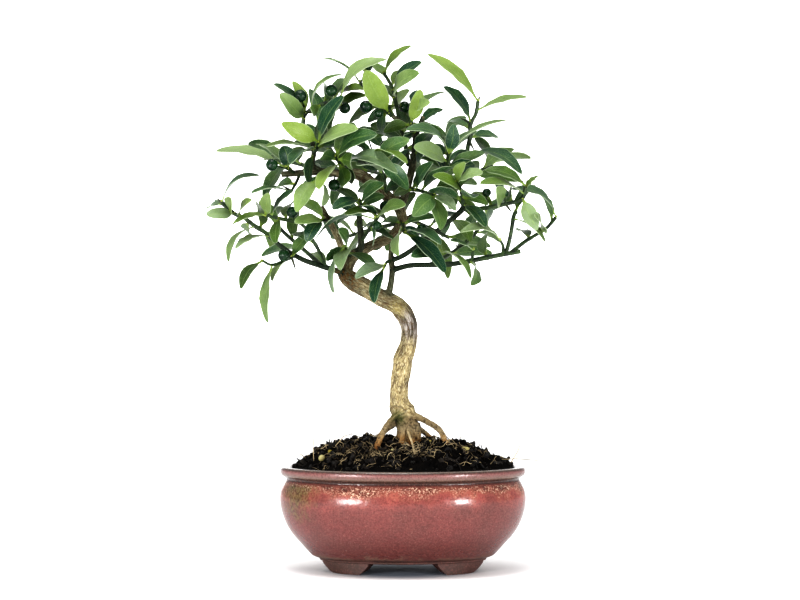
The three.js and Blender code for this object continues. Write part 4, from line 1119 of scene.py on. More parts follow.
# Moss on the foot, rust at the fork, and pale wood where a limb was cut.
to_moss = distance(place, (-4.0, -7.0, 113.0))
moss = times(ranged(to_moss, 3.0, 8.5, 0.9, 0.0), ranged(fine, 0.4, 0.55, 0.3, 1.0))
colour = mixed(moss, colour, (0.05, 0.07, 0.014))
to_fork = distance(place, (-42.0, -6.0, 216.0))
rust = times(ranged(to_fork, 5.0, 15.0, 0.75, 0.0), ranged(coarse, 0.46, 0.58))
colour = mixed(rust, colour, (0.2, 0.09, 0.02))
colour = mixed(cut_share, colour, (0.4, 0.3, 0.16))
feed(shader, {"Base Color": colour, "Roughness": 0.68, "Specular IOR Level": 0.35})
ridges = plus(plus(streaks, long_streaks), times(fine, 0.5))
foot_gaps = times(scaly, ranged(height, 108.0, 116.0, 0.8, 0.0))
bumped(minus(minus(ridges, foot_gaps), times(cracks, 0.6)), 0.0008, 0.85)
wood.data.materials.clear()
wood.data.materials.append(bark)
hand_over(wood, "bark", "trunk_and_limbs")

# %% [markdown]
# ## Leafy shoots
# Every green shoot is listed with its stems, and every leaf with the share of the stem it grows from, where
# its tip is seen, how wide it looks, how much it arches, and a tone from 0 (old, blue-green, deep in shade)
# to 1 (young, bright, in full light): the tone is partly the leaf's own colour and partly painted light and
# shade. A thorn stands beside many leaves. Leaves on the far side follow a rule: a golden turn from one to
# the next.

# %% Shoots of the top and the right
# A thorn is a share of the stem and where its tip is seen. `more` leaves follow the rule, and a blunt stem
# hardly narrows.
Stem = namedtuple("Stem", "radius path leaves thorns more blunt", defaults=((), (), 0, False))
SHOOTS = {
    "shoot_crown_left": [Stem(1.2, [(-74, 331, -7), (-72, 338, -9), (-62, 344, -11), (-46, 350, -12)],
        [(0.05, -96, 360, -18, 5, 0.15, 0.2), (0.15, -91, 352, -28, 12, 0.1, 0.7),
        (0.3, -82, 364, 6, 8, 0.12, 0.85), (0.5, -45, 367, -20, 4, 0.2, 0.5), (1, -12, 378, -24, 9, 0.2, 1),
        (0.75, -60, 364, 20, 8, 0.1, 0.3), (0.9, -38, 366, 26, 9, 0.1, 0.3)], [(0.4, -66, 338, -15)])],
    "shoot_crown_tip": [Stem(1.2, [(-8, 336, 1), (-17, 345, -2), (-26, 355, -4), (-32, 361, -5)],
        [(1, -60, 379, -14, 5, 0.12, 0.35), (0.1, -28, 370, -26, 17, 0.05, 0.9)])],
    "shoot_crown_top": [Stem(1.2, [(-3, 333.5, 2), (-5, 345, 7), (-8, 357, 9), (-14, 368, 9)],
        [(1, 9, 391, 2, 8, 0.12, 0.7), (0.6, 14, 376, -12, 8, 0.12, 0.1),
        (0.45, 12, 367, -22, 5, 0.15, 0.7), (0.85, -30, 376, 32, 9, 0.1, 0.4),
        (0.35, -22, 362, 34, 9, 0.1, 0.3), (0.7, 6, 372, 36, 9, 0.1, 0.3)])],
    "shoot_crown_bright": [Stem(1.1, [(8, 324, 4), (6, 329, -4), (7, 335, -9), (11, 341, -12)],
        [(0.45, 13, 355, -16, 11, 0.06, 0.9), (1, 20, 346, -34, 6, 0.1, 0.85),
        (0.8, 34, 356, 6, 7, 0.1, 0.6)], [(0.66, 2, 338, -12)])],
    "shoot_right_top": [Stem(1.3, [(47, 300, 14), (48, 313, 8), (50, 322, 5), (50, 330, 3), (54, 338, 1),
        (55.5, 347, 0)], [(1, 18, 382, -12, 9, 0.08, 0.9), (0.62, 30, 358, -10, 8, 0.1, 0.1),
        (0.85, 92, 350, -10, 6, 0.06, 0.6), (0.1, 88, 293, -16, 9, 0.18, 0.1),
        (0.35, 74, 320, 26, 8, 0.1, 0.3), (0.5, 30, 332, 34, 9, 0.1, 0.3)], [(0.62, 42, 335, 1),
        (0.3, 53, 310, 3), (1, 57, 351, 0)])],
    "shoot_right_middle": [Stem(1.2, [(30, 275, 28), (31, 290, 6), (32, 300, -8), (34, 309, -16)],
        [(0.93, 77, 333, -30, 3, 0.1, 0.7), (1, 38, 330, -26, 11, 0.1, 0), (0.97, 2, 326, -34, 6, 0.2, 0.1),
        (0.75, 8, 313, -38, 13, 0.08, 0.8), (0.5, 60, 308, 0, 9, 0.1, 0.3),
        (0.3, 56, 296, 34, 9, 0.1, 0.4)])],
    "shoot_right_knot": [Stem(1.2, [(45, 269, -13), (44, 275, -17), (43, 281, -20), (40, 288, -23)],
        [(1, 46, 302, -40, 8, 0.08, 0.8), (0.95, 59, 294, -44, 7, 0.1, 0.8),
        (0.1, 61, 254, -34, 9, 0.1, 0.15), (0.6, 22, 292, -40, 8, 0.1, 0.5)], [(0.4, 50, 278, -22)])],
    "shoot_right_dark": [Stem(1.3, [(45, 267, -13), (60, 268, -18), (76, 271, -22), (88, 275, -24),
        (91, 284, -27)], [(1, 61, 296, -34, 8, 0.12, 0.3), (0.85, 57, 286, -50, 5, 0.1, 0.6),
        (0.42, 69, 283, -54, 10, 0.06, 0.75), (0.76, 100, 252, -40, 11, 0.05, 0.75),
        (0.9, 100, 292, 2, 8, 0.1, 0.4), (0.6, 80, 282, 14, 8, 0.1, 0.3), (0.25, 62, 256, 14, 8, 0.1, 0.3)],
        [(0.5, 81, 264, -25), (0.95, 88, 289, -29)])],
    "shoot_right_low": [Stem(1.6, [(45, 228, -10), (55, 230, -10), (70, 233, -10), (87, 236, -10)],
        [(0.15, 50, 211, -36, 5, 0.15, 0.55), (0.5, 62, 252, 18, 9, 0.1, 0.4)], [(0.2, 55, 225.5, -12)],
        blunt=True),
        Stem(1, [(51, 229, -10), (51.5, 233, -15), (52, 237, -18)], [(1, 35, 244, -34, 3, 0.05, 0.2)]),
        Stem(1, [(74, 234, -10), (74, 240, -17), (72, 244, -22)], [(1, 42, 250, -36, 6, 0.2, 0.9)]),
        Stem(1.2, [(76, 234.5, -10), (78, 241, -8), (80, 250, -7), (82, 262, -8), (84, 266, -8)],
        [(0.7, 105, 243, -24, 4, 0.1, 0.7), (0.9, 100, 288, 10, 8, 0.1, 0.4)], blunt=True),
        Stem(1.2, [(79, 234.5, -10), (90, 243, -6), (98, 248, -3), (106, 253, -1), (113, 261, 0)],
        [(1, 80, 282, -14, 6, 0.2, 0.1), (0.6, 98, 262, -38, 7, 0.1, 0.6), (0.35, 84, 252, 26, 8, 0.1, 0.4),
        (0.9, 96, 286, 24, 8, 0.1, 0.3)])],
}
print("shoots of the top and the right:", len(SHOOTS))

# %% Shoots of the middle
SHOOTS |= {
    "shoot_low_droop": [Stem(1, [(28, 226.5, -9), (27, 231, -15), (26, 236, -20)],
        [(1, 50, 216, -40, 4, 0.15, 0.5), (0.7, 6, 232, -38, 9, 0.1, 0.2),
        (0.5, 12, 238, 16, 9, 0.1, 0.4)])],
    "shoot_centre_right": [Stem(1.2, [(-1, 257, 12), (0, 255, -4), (1, 250, -24)],
        [(1, 31, 220, -38, 11, 0.1, 0), (0.9, 28, 241, -50, 7, 0.1, 0.05), (0.7, -3, 233, -44, 6, 0.1, 0.9),
        (0.3, 30, 262, 2, 9, 0.1, 0.3)])],
    "shoot_centre_upper": [Stem(1.2, [(3, 282, 10), (12, 281, -6), (24, 277, -22)],
        [(1, 7, 262, -44, 15, 0.08, 0.55), (0.95, 39, 266, -40, 8, 0.1, 0.05),
        (0.7, 28, 252, -44, 11, 0.08, 0.5), (0.4, 22, 302, -24, 8, 0.1, 0.4),
        (0.2, 26, 296, 26, 9, 0.1, 0.3)])],
    "shoot_middle_broad": [Stem(1.3, [(-44, 293, 1), (-46, 299, -10), (-50, 307, -20)],
        [(1, -36, 331, -30, 15, 0.08, 0.05), (0.85, -19, 322, -40, 7, 0.15, 0.15),
        (0.4, -4, 293, -32, 4, 0.2, 0.3), (0.6, -62, 282, -40, 8, 0.1, 0.8),
        (0.3, -54, 320, 14, 9, 0.1, 0.3)])],
    "shoot_middle_rising": [Stem(1.2, [(-12, 277, 8), (-15, 293, -10), (-24, 309, -24)],
        [(1, 3, 300, -44, 8, 0.1, 0.5), (0.8, 5, 319, -36, 10, 0.1, 0.4),
        (0.5, -34, 300, -46, 7, 0.1, 0.5)])],
}
print("with those of the middle:", len(SHOOTS))

# %% Shoots of the left, and small ones in front
SHOOTS |= {
    "shoot_left_long": [Stem(1.1, [(-80, 293.5, -4), (-83, 296, -8), (-87, 298, -12)],
        [(1, -139, 310, -22, 7, 0.1, 0.85), (0.8, -90, 316, -42, 11, 0.08, 0),
        (0.5, -112, 318, 18, 9, 0.1, 0.4)])],
    "shoot_left_broad": [Stem(1.2, [(-66, 309, -5), (-64, 312, -12), (-62.5, 317, -18)],
        [(1, -90, 331, -34, 14, 0.08, 0.95), (0.95, -44, 351, -26, 11, 0.1, 0.05),
        (0.6, -33, 326, -36, 5, 0.1, 0.85), (0.3, -101, 313.5, -26, 3, 0.08, 0.6),
        (0.5, -83, 301, -42, 6, 0.1, 0.15)])],
    "shoot_left_olive": [Stem(1.2, [(-60, 295, -1), (-62, 292, -12), (-64, 289, -20)],
        [(1, -79, 265, -38, 13, 0.1, 0.55), (0.6, -60, 270, -40, 7, 0.1, 0.8)])],
    "shoot_left_thin": [Stem(1, [(-76, 294, -3), (-79, 287, -9), (-83, 280, -14)],
        [(1, -112, 279, -32, 3, 0.1, 0.25), (0.6, -96, 282, 16, 8, 0.1, 0.4)], [(0.95, -90, 285, -16)])],
    "shoot_far_left": [Stem(1.4, [(-95, 244, -10), (-102, 250, -10), (-110, 255, -9), (-118, 261, -8),
        (-125, 264, -8), (-134, 272, -9)], [(0.8, -145.5, 263, -22, 9, 0.08, 0.75),
        (0.86, -127, 275, -38, 9, 0.05, 0.6), (0.97, -145, 268, 14, 6, 0.1, 0.15),
        (0.68, -112, 274, -32, 5, 0.1, 0.7), (1, -106, 292, -16, 3, 0.2, 0.35),
        (0.38, -129, 228, -24, 5, 0.18, 0.6), (0.1, -124, 238, -30, 5, 0.1, 0.85),
        (0.5, -112, 248, 26, 9, 0.1, 0.4), (0.3, -108, 274, 24, 9, 0.1, 0.4)], [(1, -138, 275.5, -9),
        (0.6, -117, 265, -9)])],
    "shoot_low_left": [Stem(1, [(-80, 233, -9), (-88, 229, -14), (-97, 226, -18), (-104, 229, -20)],
        [(1, -120, 208, -32, 8, 0.12, 0.1), (0.65, -100, 183, -26, 8, 0.08, 0.7),
        (0.2, -98, 214, -38, 4, 0.1, 0.9), (0.1, -66, 250, 12, 8, 0.1, 0.4)], [(0.1, -79, 221, -10)])],
    "shoot_left_climbing": [Stem(1.1, [(-57, 224.5, -4), (-62, 236, -11), (-66, 243, -14), (-75, 256, -16),
        (-90, 260, -18), (-101, 263, -19)], [(0.82, -94, 242, -34, 8, 0.1, 0.1),
        (1, -99, 279, -42, 10, 0.05, 0.8), (0.93, -81, 281, -28, 4, 0.1, 0.1),
        (0.75, -80, 274, 14, 8, 0.1, 0.3), (1, -126, 256, -22, 5, 0.12, 0.7),
        (0.35, -84, 250, 10, 8, 0.1, 0.4)])],
    "shoot_centre_left": [Stem(1, [(-33, 266, -1), (-31, 270, -10), (-32, 274, -16)],
        [(1, -52, 267, -36, 8, 0.1, 0.1), (0.7, -14, 286, -34, 8, 0.1, 0.3),
        (0.4, -54, 284, 14, 9, 0.1, 0.3)])],
    "shoot_centre_long": [Stem(1.1, [(-31, 243, 3), (-24, 254, -10), (-18, 262, -20)],
        [(1, -43, 263, -36, 4, 0.1, 0.1), (0.85, -66, 244, -36, 4, 0.2, 0.2),
        (0.9, 2, 270, -46, 8, 0.1, 0.5), (0.4, -2, 240, 12, 9, 0.1, 0.3)])],
    "shoot_centre_stub": [Stem(1, [(-55, 259, -6), (-58, 259, -14), (-60, 259, -19)],
        [(1, -71, 243, -40, 11, 0.08, 0.05), (0.85, -80, 257, -38, 8, 0.1, 0.55)])],
    "shoot_centre_pendant": [Stem(1.1, [(-38, 231, 6), (-41, 236, -6), (-43, 240, -13)],
        [(1, -51, 205, -22, 4, 0.12, 0.15), (0.85, -48, 252, -40, 6, 0.1, 0.3),
        (0.6, -46, 222, -36, 8, 0.1, 0.9), (0.4, -20, 222, -18, 7, 0.1, 0.4)])],
    "shoot_centre_grey": [Stem(1, [(-9, 229, -3.5), (-12, 228, -12), (-14, 224, -18)],
        [(0.8, -35, 216, -38, 9, 0.1, 0.15), (1, -21, 198, -34, 9, 0.08, 0.15)])],
}
print("with those of the left and the front:", len(SHOOTS))

# %% Shoots behind
BACK_SHOOTS = {  # radius and path; the leaves follow the rule
    "left": (1.4, (-60, 295, 0), (-78, 301, 22), (-96, 304, 40)),
    "left_low": (1.3, (-60, 225, -5), (-72, 236, 20), (-88, 250, 42), (-98, 262, 52)),
    "crown": (1.4, (4, 300, 9), (0, 322, 30), (-10, 342, 46)),
    "crown_left": (1.4, (-36, 292, 3), (-50, 306, 28), (-60, 324, 44), (-64, 340, 50)),
    "middle": (1.4, (-8, 290, 55), (-12, 302, 64), (-14, 318, 68)),
    "low": (1.3, (-3, 257, 31), (-24, 252, 46), (-44, 246, 56)),
    "right_low": (1.3, (-1, 262, 38), (18, 254, 50), (34, 246, 60)),
    "right": (1.4, (44, 288, 23), (58, 296, 42), (66, 300, 58)),
    "right_top": (1.3, (30, 275, 28), (34, 300, 52), (30, 322, 62)),
    "right_side": (1.3, (20, 226, -8), (38, 236, 22), (54, 250, 40), (60, 264, 50)),
}
for name, (radius, *path) in BACK_SHOOTS.items():
    SHOOTS["shoot_back_" + name] = [Stem(radius, path, more=6)]
SHOOTS["shoot_back_middle"].append(Stem(1.2, [(-8, 291, 56), (-28, 296, 64), (-48, 296, 68)], more=5))
print("shoots:", len(SHOOTS))

# %% [markdown]
# From the lists, every leaf gets the place where it starts, its tip, its width, and how far it is turned
# about its own length: a leaf that looks narrow is seen nearly edge-on.

# %% Where each leaf grows
LEAF_SHAPE = 0.42  # width over length
WIDEST_LEAF = 17
GOLDEN_TURN = math.radians(137.5)
UP = np.array([0.0, 0.0, 1.0])
VIEW = np.array([0.0, 1.0, 0.0])
Leaf = namedtuple("Leaf", "base tip width turn arch tone")


def seeded(state):
    """The same even random numbers as the model was grown with."""
    while True:
        state = (state * 1664525 + 1013904223) % 2 ** 32
        yield state / 2 ** 32


def listed_leaf(line, share, x, z, depth, seen_width, arch, tone):
    base = point_on(line, share)
    tip = seen(x, z, depth)
    width = max(min(WIDEST_LEAF, LEAF_SHAPE * np.linalg.norm(tip - base)), abs(seen_width))
    return Leaf(base, tip, width, math.asin(seen_width / width), arch, tone)


def turned_about(vector, axis, angle):
    return np.array(Matrix.Rotation(angle, 3, Vector(axis)) @ Vector(vector))


def leaves_by_rule(line, count, numbers, tones):
    """Leaves up a stem, each a golden turn round it from the last."""
    leaves = []
    for index in range(count):
        share = 0.2 + 0.8 * (index + 0.5) / count
        base, forward = point_on(line, share), direction_on(line, share)
        across = unit(np.cross(forward, UP))
        outward = turned_about(across, forward, index * GOLDEN_TURN + next(numbers))
        length = 30 + 12 * next(numbers)
        lean = 0.5 + 0.5 * next(numbers)
        direction = unit(outward + forward * lean)
        direction[2] -= 0.1
        turn = -0.3 - 0.8 * next(numbers)
        arch = 0.06 + 0.1 * next(numbers)
        leaves.append(Leaf(base, base + direction * length, LEAF_SHAPE * length, turn, arch,
                           tones.uniform(0.1, 0.6)))
    return leaves


stem_lines = {name: [[seen(*reading) for reading in stem.path] for stem in stems]
              for name, stems in SHOOTS.items()}
numbers, tones = seeded(7), random.Random(11)
leaves_of = {}
for name, stems in SHOOTS.items():
    leaves_of[name] = []
    for stem, line in zip(stems, stem_lines[name]):
        leaves_of[name] += [listed_leaf(line, *leaf) for leaf in stem.leaves]
        leaves_of[name] += leaves_by_rule(line, stem.more, numbers, tones)
print("leaves:", sum(map(len, leaves_of.values())))

# %% [markdown]
# ## How a leaf sits
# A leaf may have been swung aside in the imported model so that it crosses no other. Its flat outline is
# tried in the few poses that a leaf could take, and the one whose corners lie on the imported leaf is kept.

# %% The pose of each leaf
FOLD = 0.24
PETIOLE = 0.7
POSES = [(shift, roll) for shift in (0, -7, 7, -14, 14, -21, 21, -28, 28) for roll in (0, 0.35, -0.35)]
Frame = namedtuple("Frame", "base along side normal length width arch")


def frame_of(leaf, shift, roll):
    along = leaf.tip - leaf.base + np.array([0, shift, 0])
    length = np.linalg.norm(along)
    along = along / length
    edge_on = unit(np.cross(VIEW, along))
    edge_on = -edge_on if edge_on[2] < 0 else edge_on
    face_on = -unit(VIEW - along * np.dot(VIEW, along))
    normal = edge_on * math.cos(leaf.turn + roll) + face_on * math.sin(leaf.turn + roll)
    return Frame(leaf.base, along, np.cross(along, normal), normal, length, leaf.width, leaf.arch)


def on_blade(frame, share, fullness, across, lift=0.0):
    """Places on a leaf: share along it, across it from -1 to 1 of its half width, lifted off its middle."""
    half = PETIOLE + (frame.width / 2 - PETIOLE) * fullness
    rise = 4 * frame.arch * frame.length * share * (1 - share)
    fold = np.abs(across) ** 1.15 * FOLD * np.maximum(0, half - PETIOLE)
    return (frame.base + np.multiply.outer(share * frame.length, frame.along)
            + np.multiply.outer(across * half, frame.side)
            + np.multiply.outer(rise + fold + lift, frame.normal))


CORNER_SHARES = np.array([0.42, 0.42, 0.74, 0.74, 0.9, 0.3])
CORNER_FULLNESS = np.array([0.95, 0.95, 0.8, 0.8, 0.3, 0.5])
CORNER_ACROSS = np.array([-1, 1, -1, 1, 0, 0])


def settled(leaf, surface):
    """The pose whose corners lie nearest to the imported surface, and how far off they are."""
    best, nearest_miss = None, math.inf
    for shift, roll in POSES:
        frame = frame_of(leaf, shift, roll)
        corners = placed(on_blade(frame, CORNER_SHARES, CORNER_FULLNESS, CORNER_ACROSS))
        miss = sorted(surface.find_nearest(Vector(corner))[3] for corner in corners)[-2]
        if miss < nearest_miss:
            best, nearest_miss = frame, miss
    return best, nearest_miss / MM


def surface_of(*names):
    """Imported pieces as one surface."""
    corners, faces = [], []
    for name in names:
        thing = frame["nodes"][name]
        start = len(corners)
        corners += [thing.matrix_world @ vertex.co for vertex in thing.data.vertices]
        faces += [[start + corner for corner in face.vertices] for face in thing.data.polygons]
    return BVHTree.FromPolygons(corners, faces)


poses_of, far_off = {}, []
for name, leaves in leaves_of.items():
    surface = surface_of(name)
    poses_of[name] = [settled(leaf, surface) for leaf in leaves]
    far_off += [(name, round(miss, 2)) for _, miss in poses_of[name] if miss > 1]
print("leaves off their packed place:", far_off)

# %% [markdown]
# ## One leaf
# A citrus leaf is a pointed oval, folded along its midrib and glossy above, on a short stalk with narrow
# wings. It is modelled once as a flat grid with a second skin for its paler underside. Each copy is then
# laid on its own frame: its rows take the outline, the fold, the arch, and a slight wave and twist of their
# own.

# %% Model leaf
ROW_SHARES = np.array([0, 0.06, 0.115, 0.16, 0.23, 0.33, 0.45, 0.58, 0.71, 0.82, 0.91, 0.968, 1])
bpy.ops.mesh.primitive_grid_add(x_subdivisions=4, y_subdivisions=len(ROW_SHARES) - 1, size=2,
                                location=(0, 0, 0))
model_leaf = bpy.context.object
model_leaf.name = "model_leaf"
finish_with(model_leaf, "SOLIDIFY", thickness=2.0, offset=0, material_offset=1, material_offset_rim=0)
flat = points_of(model_leaf.data)
leaf_row = np.rint((flat[:, 1] + 1) / 2 * (len(ROW_SHARES) - 1)).astype(int)
leaf_across = flat[:, 0]
leaf_face = np.sign(flat[:, 2])
print("model leaf:", len(model_leaf.data.polygons), "faces")


def fullness_at(share, taper, tip):
    """The outline: 0 at the stalk's width, 1 at the widest."""
    t = np.clip((share - 0.14) / 0.86, 0, 1)
    blade = np.sin(math.pi * t ** taper) ** tip
    return np.where(share <= 0.14, 0, blade)


def leaf_on(frame, tone, dice, dust_and_sheen=0.0):
    """A copy of the model leaf, laid on a frame."""
    twin = copy_of(model_leaf, Matrix.Identity(4))
    share = ROW_SHARES[leaf_row]
    blunt = dice.random()
    fullness = fullness_at(share, 0.8 + 0.16 * blunt + dice.uniform(-0.03, 0.03), 0.86 - 0.3 * blunt)
    on_stalk = share < 0.15
    wing = 0.55 * np.exp(-((share - 0.1) / 0.03) ** 2)
    phase, waves = dice.uniform(0, math.tau), dice.uniform(2.2, 3.6)
    swell = dice.uniform(0.15, 0.6) * np.sin(share * waves * math.tau + phase + leaf_across * 1.4)
    twist = dice.uniform(-0.1, 0.1) * frame.width / 2 * leaf_across * share
    sickle = dice.uniform(-1, 1) * 1.3 * np.sin(math.pi * share)
    half = PETIOLE + (frame.width / 2 - PETIOLE) * fullness
    thick = np.where(on_stalk, 0.68, 0.3) * (1 - 0.25 * np.abs(leaf_across))
    thick = np.where(share > 0.99, 0.12, thick)
    lift = leaf_face * thick + (swell * leaf_across ** 2 + twist) * fullness
    points = on_blade(frame, share, fullness, leaf_across, lift)
    to_tip = np.where(share > 0.99, -0.75 * leaf_across * half, 0)
    points += np.multiply.outer(sickle * fullness + to_tip + wing * leaf_across, frame.side)
    move_points(twin.data, placed(points))
    note_points(twin.data, "tone", np.clip(tone + dice.gauss(0, 0.07), 0, 1) * np.ones(len(share)))
    note_points(twin.data, "tint", dice.random() * np.ones(len(share)))
    note_points(twin.data, "dust_and_sheen", dust_and_sheen * np.ones(len(share)))
    return twin


# %% [markdown]
# ## Leaf finishes
# The upper side is glossy with pale veins, some leaves are olive, some grey with dust and painted sheen,
# and the underside is dull and pale. The veins run from the midrib to the edge at a slant; they are drawn
# on the leaf's own flat map, which every copy keeps. What differs from leaf to leaf is stored with its
# mesh.

# %% Leaf finishes
VEIN_PAIRS = 13.0
DEEP_TO_BRIGHT = [(0.0, (0.011, 0.05, 0.028)), (0.3, (0.055, 0.12, 0.042)), (0.6, (0.135, 0.21, 0.062)),
                  (1.0, (0.28, 0.37, 0.145))]


def vein_pattern():
    """The midrib, the side veins, the edge and the stalk of a leaf, each from 0 to 1."""
    flat_map = add_node("SeparateXYZ", {0: add_node("TexCoord").outputs["UV"]}).outputs
    aside = calculated("ABSOLUTE", minus(flat_map["X"], 0.5))
    slant = minus(flat_map["Y"], times(aside, 0.5))
    beat = calculated("ABSOLUTE", minus(calculated("FRACT", times(slant, VEIN_PAIRS)), 0.5))
    return (ranged(aside, 0.012, 0.035, 1.0, 0.0), ranged(beat, 0.03, 0.12, 1.0, 0.0),
            ranged(aside, 0.455, 0.5), ranged(flat_map["Y"], 0.2, 0.32, 1.0, 0.0))


leaf_top = new_finish("glossy_leaf")
place, tone, tint, dust_and_sheen = millimetres(), stored("tone"), stored("tint"), stored("dust_and_sheen")
midrib, side_veins, edge, stalk = vein_pattern()
# The tone sets the green: partly the leaf's own age, partly painted light and shade, brighter for leaves in
# full light and darker for those deep in the crown.
flesh = colours_along(plus(tone, ranged(grain(place, 0.09, 3), 0.3, 0.7, -0.13, 0.13)), DEEP_TO_BRIGHT)
flesh = mixed(ranged(tint, 0.55, 1.0, 0.0, 0.55), flesh, (0.95, 1.1, 0.1), "MULTIPLY")
flesh = mixed(ranged(tint, 0.6, 1.0, 0.0, 0.35), flesh, (0.09, 0.11, 0.012))
flesh = mixed(ranged(tint, 0.4, 0.0, 0.0, 0.35), flesh, (0.012, 0.055, 0.034))
# Dust and painted sheen: grey near the listed places, partly dust and partly a painted reflection of the
# glossy surface.
flesh = mixed(times(dust_and_sheen, ranged(grain(place, 0.25, 3), 0.3, 0.6, 0.6, 1.0)), flesh, (0.25, 0.32, 0.2))
flesh = mixed(times(side_veins, 0.13), flesh, (0.25, 0.4, 0.1))
flesh = mixed(times(midrib, 0.3), flesh, (0.3, 0.42, 0.12))
flesh = mixed(ranged(grain(place, 0.9, 4, 0.75), 0.54, 0.72, 0.0, 0.36), flesh, (0.38, 0.48, 0.3))
# A pale rim along every leaf's edge: partly its paler margin, partly a painted highlight on the rolled
# edge.
flesh = mixed(times(edge, 0.55), flesh, (0.48, 0.57, 0.38))
flesh = mixed(times(stalk, 0.75), flesh, (0.22, 0.32, 0.05))
feed(shader, {"Base Color": flesh, "Roughness": 0.34, "Specular IOR Level": 0.32})
bumped(minus(grain(place, 0.5, 3), plus(times(side_veins, 0.35), midrib)), 0.00035, 0.45)

leaf_back = new_finish("pale_underside")
midrib, side_veins, *_ = vein_pattern()
# The underside follows the tone too, so it also carries painted light and shade.
flesh = colours_along(stored("tone"), [(0.0, (0.085, 0.15, 0.075)), (0.4, (0.13, 0.21, 0.07)),
                                       (1.0, (0.27, 0.38, 0.09))])
flesh = mixed(times(side_veins, 0.25), flesh, (0.42, 0.52, 0.26))
flesh = mixed(times(midrib, 0.7), flesh, (0.5, 0.58, 0.28))
feed(shader, {"Base Color": flesh, "Roughness": 0.55})
bumped(plus(times(side_veins, 0.4), midrib), 0.0004, 0.5)

SKIN_RELIEF = ((2.0, 3), 0.0002, 0.5)
green_stem = mottled_finish("green_stem", (0.008, 0.018, 0.008), (0.045, 0.085, 0.025), 0.5, 0.3,
                            SKIN_RELIEF)
thorn_skin = mottled_finish("thorn_skin", (0.012, 0.02, 0.01), (0.05, 0.06, 0.022), 0.45, 0.3, SKIN_RELIEF)
bud_skin = mottled_finish("bud_skin", (0.16, 0.22, 0.03), (0.42, 0.46, 0.1), 0.45, 0.6, SKIN_RELIEF)
for finish in (leaf_top, leaf_back):
    model_leaf.data.materials.append(finish)
print("leaf finishes:", [finish.name for finish in model_leaf.data.materials])

# %% [markdown]
# ## Thorn, bud and stem
# A thorn is a small cone with a wide foot, drawn out in steps to a sharp point. A bud sits in the corner of
# each leaf. A stem swells a little where each leaf joins it.

# %% Model thorn and bud
bpy.ops.mesh.primitive_circle_add(vertices=8, radius=1.0, fill_type="NGON", location=(0, 0, 0))
model_thorn = bpy.context.object
edit_all()
for rise, shrink in ((0.12, 0.8), (0.3, 0.8), (0.33, 0.62), (0.25, 0.12)):
    step_up(rise, shrink, shrink)
face_out()
model_thorn.data.materials.append(thorn_skin)

bpy.ops.mesh.primitive_uv_sphere_add(segments=8, ring_count=6, radius=1.0, location=(0, 0, 0))
model_bud = bpy.context.object
bpy.ops.object.mode_set(mode="EDIT")
bpy.ops.mesh.select_all(action="DESELECT")
bpy.ops.object.mode_set(mode="OBJECT")
model_bud.data.vertices[int(np.argmax(points_of(model_bud.data)[:, 2]))].select = True
bpy.ops.object.mode_set(mode="EDIT")
bpy.ops.transform.translate(value=(0, 0, 0.8), use_proportional_edit=True, proportional_size=1.4)
bpy.ops.object.mode_set(mode="OBJECT")
model_bud.data.materials.append(bud_skin)


def toward(at, target, width, length):
    """A matrix that stands a piece at a place and points its z axis to a target; all in millimetres."""
    way = Vector(np.asarray(target) - np.asarray(at))
    turn = way.to_track_quat("Z", "Y").to_matrix().to_4x4()
    return Matrix.Translation(placed(at)) @ turn @ Matrix.Diagonal((width * MM, width * MM, length * MM, 1))


def stem_tube(name, stem, line):
    """The stem, with a swelling at each leaf."""
    steps = (len(line) - 1) * 6
    shares = np.linspace(0, 1, steps + 1)
    radii = 1.35 * stem.radius * (1 + (0.9 if stem.blunt else 0.72) * shares - shares)
    for leaf in stem.leaves:
        radii += 0.22 * stem.radius * np.exp(-((shares - leaf[0]) * 22) ** 2)
    return drawn_curve(name, placed([point_on(line, share) for share in shares]), radii, sides=1)


print("thorn:", len(model_thorn.data.polygons), "faces, bud:", len(model_bud.data.polygons), "faces")

# %% [markdown]
# Some leaves look grey and dull: partly dust, partly a painted sheen, the pale reflection of the glossy
# leaf painted into its colour. Their places were read off the front, and a front leaf whose middle is seen
# near one of them takes its share of dust and sheen.

# %% Leaves that are grey with dust and painted sheen
FRONT_DEPTH = 5
DUST_AND_SHEEN_REACH = 6
MOST_DUST_AND_SHEEN = 0.8
DUST_AND_SHEEN_SPOTS = np.array([(-24, 223), (-47, 226), (-61, 278), (-138, 264), (-105, 269), (-112, 241), (-118, 309),
                  (-23, 298), (18, 309), (50, 295), (95, 262), (58, 246), (33, 273)])  # across and up


def dust_and_sheen_on(leaf):
    """How near a front leaf is seen to one of the places grey with dust and painted sheen."""
    middle = (leaf.base + leaf.tip) / 2
    if middle[1] > FRONT_DEPTH:
        return 0.0
    across_and_up = (EYE + (middle - EYE) / (1 - middle[1] / EYE[1]))[[0, 2]]
    away = np.linalg.norm(DUST_AND_SHEEN_SPOTS - across_and_up, axis=1).min() / DUST_AND_SHEEN_REACH
    return MOST_DUST_AND_SHEEN * math.exp(-away ** 2)


dust_and_sheen_of_leaves = [dust_and_sheen_on(leaf) for leaves in leaves_of.values() for leaf in leaves]
print("dusty leaves:", sum(dust_and_sheen > 0.3 for dust_and_sheen in dust_and_sheen_of_leaves))

# %% [markdown]
# A shoot is one piece: its stems, thorns, leaves and buds are copied or drawn, and then joined. The leaves
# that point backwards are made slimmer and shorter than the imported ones, so that they don't crowd.

